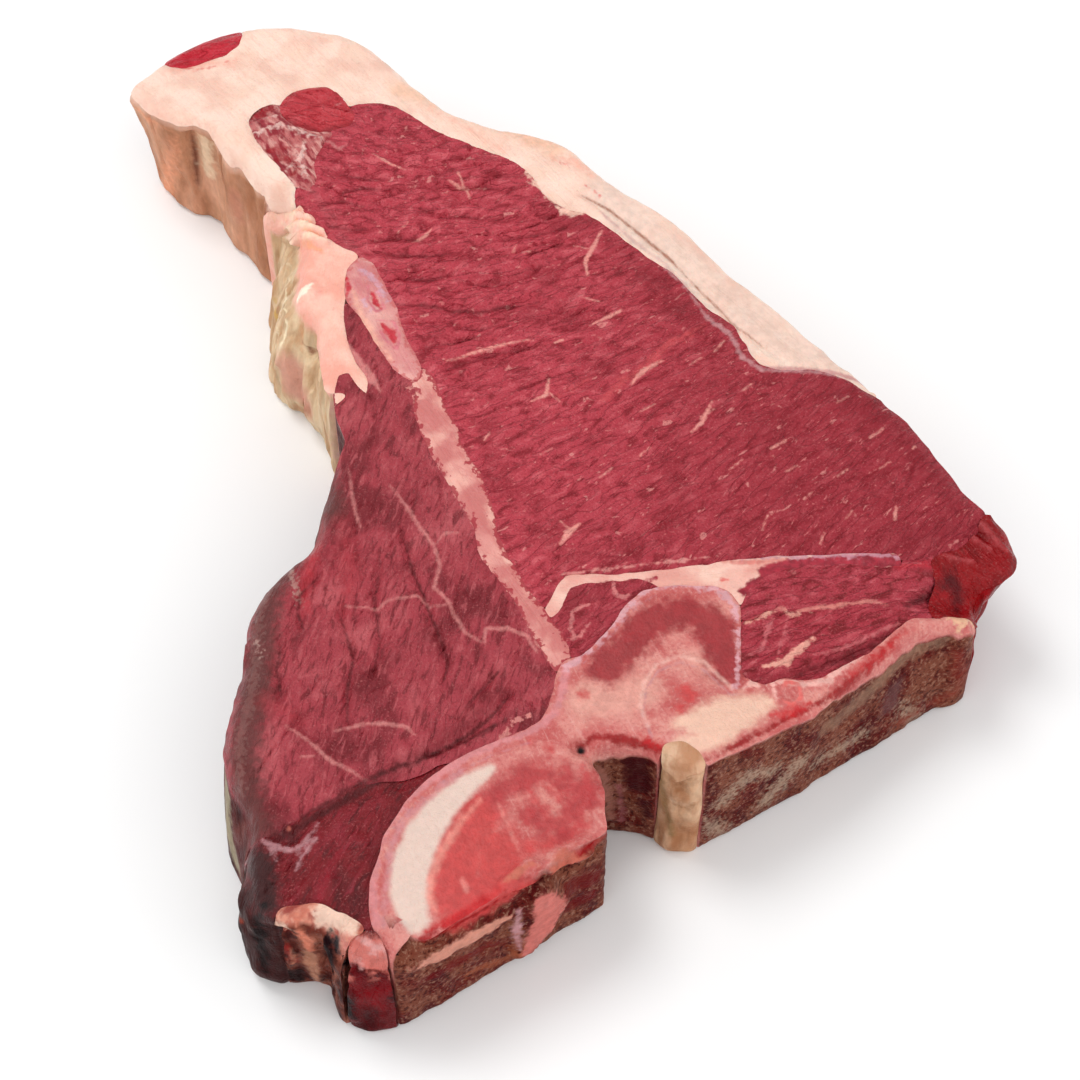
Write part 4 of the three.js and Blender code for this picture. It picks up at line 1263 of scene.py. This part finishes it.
BODY_LINE = broad(0.9, (376, 925), (373, 885), (376, 850), (388, 822), (405, 800), (440, 772), (470, 755),
    (500, 742), (530, 732), (552, 716), (562, 695), (566, 668))
JOINT_LINE = broad(0.8, (566, 668), (582, 656), (596, 640), (612, 624), (628, 608), (642, 593),
    (660, 585), (690, 584), (716, 589), (732, 602))
JOINT_END = broad(0.35, (734, 606), (738, 630), (740, 656), (736, 686))
VERTEBRA_MARKS = [
    mark("pale", (226, 164, 150), broad(4.5, (590, 700), (615, 698), (640, 690)),
        broad(1.5, (700, 660), (715, 680)), soft=3.0, ragged=1.6, grain=2.4, strength=0.8),
    mark("marrow", (200, 77, 76), broad(5, (480, 815), (462, 850), (452, 890), (462, 905), (500, 885),
        (500, 850)), broad(1.5, (520, 850), (560, 840), (580, 825)), soft=2.0, ragged=1.6, grain=3,
        strength=0.95),
    mark("rays", (200, 84, 84), fine(1.0, (520, 780), (536, 800), (552, 825)),
        fine(1.0, (486, 792), (500, 812), (512, 840)), fine(1.2, (545, 785), (562, 800), (578, 820)),
        fine(0.8, (583, 765), (590, 790), (592, 820)), soft=0.8, strength=0.8),
    mark("streaks", (228, 148, 138), fine(0.4, (505, 772), (520, 798), (535, 835)),
        fine(0.35, (525, 772), (545, 805), (556, 838)), fine(0.3, (494, 796), (508, 825), (518, 850)),
        fine(1.2, (462, 880), (466, 892)), fine(0.3, (556, 792), (572, 812)),
        fine(0.3, (536, 770), (556, 792)), soft=0.7, ragged=0.5, strength=0.75),
    mark("pulp", (180, 66, 69), broad(3.0, (500, 790), (530, 775), (560, 775), (585, 795), (560, 830),
        (530, 815)), soft=2.4, ragged=2.0, grain=2.4, strength=0.9),
    mark("arch", (158, 57, 61), broad(4.2, (606, 668), (628, 645), (650, 622), (680, 612), (705, 618),
        (720, 640), (727, 668)), soft=1.8, ragged=1.8, grain=2.4, strength=0.95),
    mark("shell", (200, 140, 142), broad(0.22, (652, 738), (643, 715), (646, 690), (658, 671), (680, 662),
        (702, 668), (718, 682), (730, 694), (744, 694)), soft=0.3, ragged=0.25, strength=0.75, rise=-0.15,
        where="face"),
    mark("shell_light", (236, 184, 172), broad(0.35, (648, 726), (640, 706), (644, 684), (656, 665),
        (680, 656), (704, 662), (720, 677), (732, 688)), ragged=0.25, strength=0.7, rise=0.1,
        where="face"),
    mark("cream", (240, 196, 174), [(684, 722, 2.0), (702, 722, 4.0), (724, 716, 4.8), (748, 708, 3.6),
        (768, 702, 1.4)], [(682, 742, 1.6), (704, 740, 2.8), (724, 732, 2.4)], soft=1.6, ragged=1.0,
        grain=2.4, strength=0.95, vary=0.04, where="face"),
    mark("crescent", (229, 201, 188), [(492, 768, 0.8), (470, 782, 2.2), (444, 805, 3.0), (424, 832, 3.6),
        (411, 865, 3.9), (408, 890, 3.9), (412, 908, 3.4), (418, 922, 2.4)], soft=0.9, ragged=0.4,
        grain=2.5, vary=0.03, where="face"),
    mark("halo", (236, 152, 138), fine(0.7, (480, 800), (458, 826), (442, 850), (432, 875), (430, 898),
        (436, 912)), soft=0.9, ragged=0.4, strength=0.8, where="face"),
    mark("rim", (206, 140, 144), broad(0.5, (384, 925), (385, 890), (390, 850), (402, 822), (430, 796),
        (460, 772)), soft=0.9, ragged=0.7, strength=0.8, where="face"),
    mark("ring", (214, 138, 140), BODY_LINE, soft=0.7, strength=0.9, rise=0.2, where="face"),
    mark("joint", (220, 166, 172), JOINT_LINE, JOINT_END, soft=0.6, ragged=1.1, strength=0.85, rise=0.2,
        where="face"),
    mark("fibre_line", (196, 132, 138), broad(0.12, (392, 830), (420, 798), (450, 776), (490, 756),
        (530, 742)), broad(0.12, (578, 668), (596, 650), (616, 630), (640, 604), (656, 594)), soft=0.3,
        ragged=0.3, strength=0.7, rise=-0.1, where="face"),
    mark("spot", (204, 76, 76), broad(1.6, (686, 690), (690, 696)), broad(1.2, (681, 708)),
        broad(1.0, (583, 695)), broad(0.9, (550, 748)), broad(0.2, (530, 740)), soft=1.0, strength=0.85,
        where="face"),
    mark("curl", (236, 176, 166), fine(0.9, (744, 690), (752, 684), (762, 690)),
        fine(0.6, (764, 668), (772, 684), (776, 700)), fine(0.8, (776, 682), (800, 686), (826, 682),
        (842, 668), (862, 656)), fine(0.5, (826, 680), (830, 668)), ragged=0.6, rise=0.5, where="face"),
    mark("vessel", (222, 112, 106), fine(0.4, (780, 694), (786, 684), (798, 686), (802, 698), (792, 706),
        (782, 700)), soft=0.3, ragged=0.3, rise=0.4, where="face"),
    # Dark red lines, sunk a little: blood along the seams, and from (505, 896) on a painted shadow line
    # along the seam.
    mark("blood_and_shadow", (150, 24, 30), fine(0.8, (405, 948), (430, 936), (462, 921), (490, 906), (505, 896)),
        fine(0.5, (505, 896), (528, 882), (546, 872), (565, 858), (595, 840)), fine(0.7, (579, 742),
        (600, 736), (625, 740), (653, 745), (680, 753), (704, 761)),
        fine(0.6, (704, 762), (730, 748), (758, 733), (790, 716)),
        fine(0.7, (790, 716), (830, 698), (868, 668), (905, 628)), soft=0.6, ragged=0.7, strength=0.9,
        rise=-0.3),
    mark("flow", (200, 44, 48), fine(1.0, (425, 930), (450, 920), (480, 903), (500, 890)),
        fine(0.6, (850, 676), (880, 655), (905, 630)), fine(0.9, (768, 716), (790, 712), (812, 702)),
        fine(0.4, (640, 738), (660, 744), (690, 752)), soft=1.0, strength=0.75, where="face"),
    mark("crumbs", (226, 176, 146), fine(1.2, (912, 614), (930, 608), (944, 612), (958, 624), (968, 620),
        (976, 628)), ragged=1.0, grain=1.1, rise=1.0),
    mark("ridge", (196, 108, 92), fine(0.7, (502, 886), (514, 878), (530, 867), (540, 868)),
        fine(0.8, (548, 868), (562, 857), (576, 854), (588, 848)), ragged=0.5, rise=1.6, spread=1.0),
    # Painted shadow: the dark line under the ridge, sunk a little.
    mark("gap", (74, 12, 14), fine(0.5, (512, 890), (545, 878), (575, 866), (596, 850)), ragged=0.5,
        rise=-0.8, where="wall"),
    mark("strip", (206, 140, 122), fine(2.4, (412, 964), (432, 952), (462, 936), (486, 924), (505, 914)),
        soft=0.8, ragged=1.1, rise=1.0, spread=1.2, where="wall"),
    mark("deep", (106, 16, 24), fine(1.8, (414, 984), (450, 964), (480, 948), (508, 938)),
        broad(3.0, (570, 885), (590, 878)), broad(2.0, (560, 910), (590, 895)), soft=1.2, ragged=1.2,
        strength=0.8, where="wall"),
    mark("lump", (204, 116, 108), [(538, 892, 2.4), (545, 905, 4.2), (536, 924, 3.6), (522, 944, 1.8)],
        soft=0.9, ragged=1.0, rise=1.8, spread=1.6, where="wall"),
    mark("lump_film", (190, 138, 142), fine(1.0, (516, 905), (514, 925), (514, 942)), soft=0.8,
        ragged=0.7, rise=0.6, where="wall"),
    mark("foot", (158, 88, 64), broad(1.2, (470, 972), (510, 955), (560, 930), (598, 908)), soft=1.2,
        ragged=1.8, grain=1.4, strength=0.7, where="wall"),
    mark("chalk", (178, 152, 132), broad(1.5, (722, 800), (745, 775), (770, 770)),
        broad(1.2, (742, 835), (700, 850)), broad(1.8, (765, 800), (800, 760)),
        broad(1.2, (905, 735), (915, 715)), broad(1.4, (680, 850), (720, 830)),
        broad(1.2, (820, 760), (860, 735)), soft=2.5, ragged=3.2, grain=0.9, strength=0.75, where="wall"),
    mark("brown", (146, 112, 94), broad(2.4, (830, 725), (860, 700), (900, 660), (940, 640)), soft=2.0,
        ragged=1.6, strength=0.7, where="wall"),
    mark("oval", (104, 66, 66), broad(2.2, (895, 688), (888, 708)), soft=1.6, strength=0.85,
        where="wall"),
    mark("rust", (140, 62, 52), broad(1.2, (955, 650), (962, 680), (940, 700), (900, 722)), soft=2.0,
        ragged=1.4, strength=0.6, where="wall"),
    mark("canal", (72, 26, 34), broad(3.0, (606, 752), (636, 760), (640, 785)),
        broad(1.0, (640, 800), (650, 815)), soft=1.2, ragged=1.2, strength=0.9, where="wall"),
    # A hole: sunk, its near-black colour painted shade.
    mark("hole", (14, 2, 4), broad(0.9, (581, 746)), ragged=0.3, rise=-2.0, spread=1.2),
    mark("canal_film", (160, 104, 92), broad(1.0, (598, 768), (606, 790), (611, 816)), soft=0.8, rise=0.5,
        where="wall"),
    mark("canal_pink", (160, 96, 98), broad(0.6, (620, 785), (622, 818)), soft=0.9, strength=0.8,
        where="wall"),
]

# Ligament beside the spinal canal

LIGAMENT_MARKS = [
    mark("band", (140, 92, 60), fine(0.5, (668, 775), (680, 780), (690, 776)),
        fine(0.5, (672, 802), (684, 806), (694, 802)), soft=0.8, strength=0.7, rise=-0.4),
    mark("olive", (150, 122, 84), broad(0.7, (664, 762), (666, 800), (672, 835)), soft=1.0, ragged=0.6,
        strength=0.7),
]


# Looks: the base, relief and wall of each tissue, its colours and its marks

# What a look is where it says nothing else
PLAIN_LOOK = {
    "roughness": 0.42, "rim_drop": 2.4, "bevel": 0, "glow": 0.1, "gloss": 0.22,
    "flecks": 0.6, "rightward_shade": None, "streaks": (234, 182, 162), "bite": None, "marks": [],
    "side": soft_side, "side_colours": None, "side_fade": 1.2, "side_size": 6, "side_stretch": 0.4,
}
MUSCLE = {"slot": "muscle", "base": meat_base, "relief": meat_relief, "wall": soft_wall}
LOOKS = {
    "loin_muscle": {
        # Painted shade: darker towards the right from x -5 to 60 mm.
        **MUSCLE, "fibres": None, "flecks": 0.65, "rightward_shade": (-5, 60, 0.55),
        "colours": ((134, 32, 45), (184, 66, 78), (214, 102, 110)),
        "side_colours": ((112, 20, 32), (140, 32, 44)), "marks": LOIN_MUSCLE_MARKS,
    },
    "tenderloin": {
        "slot": "dark_muscle", "base": tender_base, "relief": tender_relief, "wall": soft_wall,
        "fibres": 76, "colours": ((112, 32, 42), (166, 64, 73), (194, 96, 101)),
        "side_colours": ((86, 44, 46), (122, 66, 62), (64, 30, 32)), "side_fade": 3.0,
        "marks": TENDERLOIN_MARKS,
    },
    "lower_muscle": {
        "slot": "dark_muscle", "base": tender_base, "relief": tender_relief, "wall": lumpy_wall,
        "fibres": 60, "roughness": 0.38, "side_fade": 3.0,
        "colours": ((78, 8, 20), (124, 27, 40), (152, 50, 62)),
        "side_colours": ((76, 46, 44), (100, 64, 58), (52, 28, 30)), "side_size": 4,
        "marks": LOWER_MUSCLE_MARKS,
    },
    "seam_muscle": {
        **MUSCLE, "fibres": 40, "flecks": 0.2, "colours": ((120, 28, 40), (164, 56, 67), (194, 88, 95)),
        "marks": SEAM_MUSCLE_MARKS,
    },
    "back_muscle_upper": {
        **MUSCLE, "fibres": 18, "roughness": 0.4, "flecks": 0.3,
        "colours": ((120, 24, 38), (172, 60, 72), (202, 96, 104)), "marks": BACK_MUSCLE_UPPER_MARKS,
    },
    "back_muscle_lower": {
        **MUSCLE, "fibres": 25, "roughness": 0.4, "flecks": 0.3,
        "colours": ((116, 22, 34), (168, 56, 68), (200, 92, 100)), "marks": BACK_MUSCLE_LOWER_MARKS,
    },
    "tail_muscle": {
        **MUSCLE, "fibres": -10, "roughness": 0.38, "flecks": 0.1,
        "colours": ((156, 36, 46), (190, 62, 70), (206, 86, 92)), "marks": TAIL_MUSCLE_MARKS,
    },
    "flank_muscle": {
        **MUSCLE, "fibres": 5, "roughness": 0.34, "flecks": 0.1,
        "colours": ((160, 22, 38), (192, 38, 54), (206, 66, 78)),
        "side_colours": ((136, 30, 40), (164, 52, 60)), "side_fade": 3.0,
    },
    "side_flap": {
        "slot": "wet_flap", "base": tender_base, "relief": meat_relief, "wall": lumpy_wall, "fibres": -50,
        "roughness": 0.26, "gloss": 0.2, "bevel": 1.2,
        "colours": ((118, 2, 16), (146, 8, 24), (166, 26, 42)),
        "side_colours": ((134, 8, 20), (106, 2, 12), (152, 24, 36)), "side_size": 4,
        "marks": SIDE_FLAP_MARKS,
    },
    "end_flap": {
        "slot": "wet_flap", "base": tender_base, "relief": clot_relief, "wall": lumpy_wall, "fibres": 80,
        "roughness": 0.24, "gloss": 0.3, "bevel": 1.2,
        "colours": ((66, 0, 12), (106, 6, 22), (128, 18, 32)),
        "side_colours": ((104, 4, 20), (122, 10, 28), (66, 0, 12)), "marks": END_FLAP_MARKS,
    },
    "fat_cap": {
        "slot": "fat", "base": fat_base, "relief": fat_relief, "wall": fat_wall, "fibres": -52,
        "roughness": 0.45, "glow": 0.18, "bevel": 1.0,
        "colours": ((244, 207, 188), (237, 194, 176), (249, 216, 199)),
        "side_colours": ((196, 143, 113), (214, 160, 132), (172, 118, 90)), "side_size": 8,
        "side_fade": 3.5, "bite": ((176, 70, 76), -0.1, 0.3), "marks": FAT_CAP_MARKS,
    },
    "tail_seam_fat": {
        "slot": "pink_fat", "base": stringy_base, "relief": clot_relief, "wall": soft_wall, "fibres": -55,
        "roughness": 0.38, "strands": (3.4, 1.5, 5),
        "colours": ((196, 112, 110), (220, 156, 148), (156, 56, 64)), "marks": TAIL_SEAM_FAT_MARKS,
    },
    "kidney_fat": {
        "slot": "fat", "base": fat_base, "relief": suet_relief, "wall": suet_wall, "fibres": 80,
        "roughness": 0.44, "glow": 0.18, "colours": ((246, 182, 164), (242, 170, 152), (250, 198, 180)),
        "side_colours": ((206, 172, 138), (184, 140, 102), (226, 200, 166)), "side_size": 4,
        "side_stretch": 0.2, "side_fade": 3.0, "marks": KIDNEY_FAT_MARKS,
    },
    "seam_fat": {
        "slot": "pink_fat", "base": fat_base, "relief": seam_relief, "wall": soft_wall, "fibres": -60,
        "streaks": (200, 104, 102), "bite": ((168, 56, 66), 0.7, 1.6),
        "colours": ((222, 150, 142), (236, 176, 163), (204, 122, 118)),
    },
    "facet_fat": {
        "slot": "pink_fat", "base": fat_base, "relief": seam_relief, "wall": soft_wall, "fibres": 5,
        "roughness": 0.4, "colours": ((238, 184, 170), (244, 200, 184), (228, 162, 150)),
        "marks": FACET_FAT_MARKS,
    },
    "end_fat": {
        "slot": "pink_fat", "base": stringy_base, "relief": clot_relief, "wall": lumpy_wall, "fibres": 30,
        "roughness": 0.34, "strands": (5, 3, 5), "bevel": 1.6,
        "colours": ((198, 116, 98), (222, 150, 128), (160, 74, 66)),
        "side_colours": ((112, 56, 48), (152, 92, 76), (62, 22, 24)), "side_size": 5, "side_stretch": 0.8,
        "marks": END_FAT_MARKS,
    },
    "finger_bone": {
        "slot": "cartilage", "base": fat_base, "relief": bone_relief, "wall": soft_wall, "fibres": -65,
        "roughness": 0.36, "streaks": (210, 116, 128), "bite": ((204, 112, 110), 0.6, 1.2),
        "colours": ((218, 146, 142), (228, 168, 160), (204, 126, 126)), "marks": FINGER_BONE_MARKS,
    },
    "vertebra": {
        "slot": "bone", "base": bone_base, "relief": bone_relief, "wall": sawn_wall, "side": sawn_side,
        "fibres": -64, "rim_drop": 0.8, "colours": ((212, 128, 122), (222, 148, 138), (198, 102, 99)),
        "side_colours": ((104, 42, 37), (84, 23, 24), (124, 72, 58)), "marks": VERTEBRA_MARKS,
    },
    "ligament": {
        "slot": "ligament", "base": fat_base, "relief": seam_relief, "wall": cord_wall, "fibres": 90,
        "roughness": 0.4, "streaks": (178, 130, 92), "bevel": 1.5,
        "colours": ((218, 174, 142), (232, 198, 168), (190, 138, 104)),
        "side_colours": ((206, 160, 126), (228, 190, 158), (168, 116, 84)), "side_size": 5,
        "marks": LIGAMENT_MARKS,
    },
}

for tissue, tissue_look in LOOKS.items():
    make_tissue(tissue, {**PLAIN_LOOK, **tissue_look})


# Floor, light and camera

def make_floor():
    """A plain pale floor."""
    mesh = bpy.data.meshes.new("floor_mesh")
    corners = [(x * FLOOR_HALF, y * FLOOR_HALF, 0) for x, y in ((-1, -1), (1, -1), (1, 1), (-1, 1))]
    mesh.from_pydata(corners, [], [(0, 1, 2, 3)])
    paint = Paint("floor_look")
    paint.shader.inputs["Base Color"].default_value = (FLOOR_WHITE, FLOOR_WHITE, FLOOR_WHITE, 1)
    paint.shader.inputs["Roughness"].default_value = FLOOR_ROUGHNESS
    mesh.materials.append(paint.material)
    floor = bpy.data.objects.new("floor", mesh)
    floor.location.z = -FLOOR_DROP
    bpy.context.scene.collection.objects.link(floor)


def add_light(name, place, size, power):
    """A soft square light that faces the steak."""
    data = bpy.data.lights.new(name, "AREA")
    data.size = size
    data.energy = power
    light = bpy.data.objects.new(name, data)
    light.location = place
    light.rotation_euler = (-Vector(place)).to_track_quat("-Z", "Y").to_euler()
    bpy.context.scene.collection.objects.link(light)


def make_world():
    """White surroundings, dimmer where the level faces would mirror them towards the camera."""
    world = bpy.data.worlds.new("studio")
    world.use_nodes = True
    nodes = world.node_tree.nodes
    links = world.node_tree.links
    direction = nodes.new("ShaderNodeTexCoord").outputs["Generated"]
    likeness = nodes.new("ShaderNodeVectorMath")
    likeness.operation = "DOT_PRODUCT"
    links.new(direction, likeness.inputs[0])
    likeness.inputs[1].default_value = (0, math.cos(VIEW_DOWN), math.sin(VIEW_DOWN))
    dimming = nodes.new("ShaderNodeMapRange")
    dimming.interpolation_type = "SMOOTHSTEP"
    links.new(likeness.outputs["Value"], dimming.inputs[0])
    for socket, number in zip(dimming.inputs[1:5], (*DIMMED, *WORLD_LIGHT)):
        socket.default_value = number
    links.new(dimming.outputs[0], nodes["Background"].inputs["Strength"])
    nodes["Background"].inputs["Color"].default_value = (1, 1, 1, 1)
    bpy.context.scene.world = world


def make_camera():
    """The camera at the photograph's angle."""
    data = bpy.data.cameras.new("camera")
    data.lens = LENS
    data.sensor_width = SENSOR
    camera = bpy.data.objects.new("camera", data)
    eye = pixel_ray(0, 0)[0]
    camera.location = Vector((eye.x - PLAN_CENTRE[0], eye.y - PLAN_CENTRE[1], eye.z)) * MM
    camera.rotation_euler = (math.pi / 2 - VIEW_DOWN, 0, 0)
    bpy.context.scene.collection.objects.link(camera)
    bpy.context.scene.camera = camera


make_floor()
for light_name, (light_place, light_size, light_power) in LIGHTS.items():
    add_light(light_name, light_place, light_size, light_power)
make_world()
bpy.context.scene.view_settings.view_transform = "Standard"
make_camera()
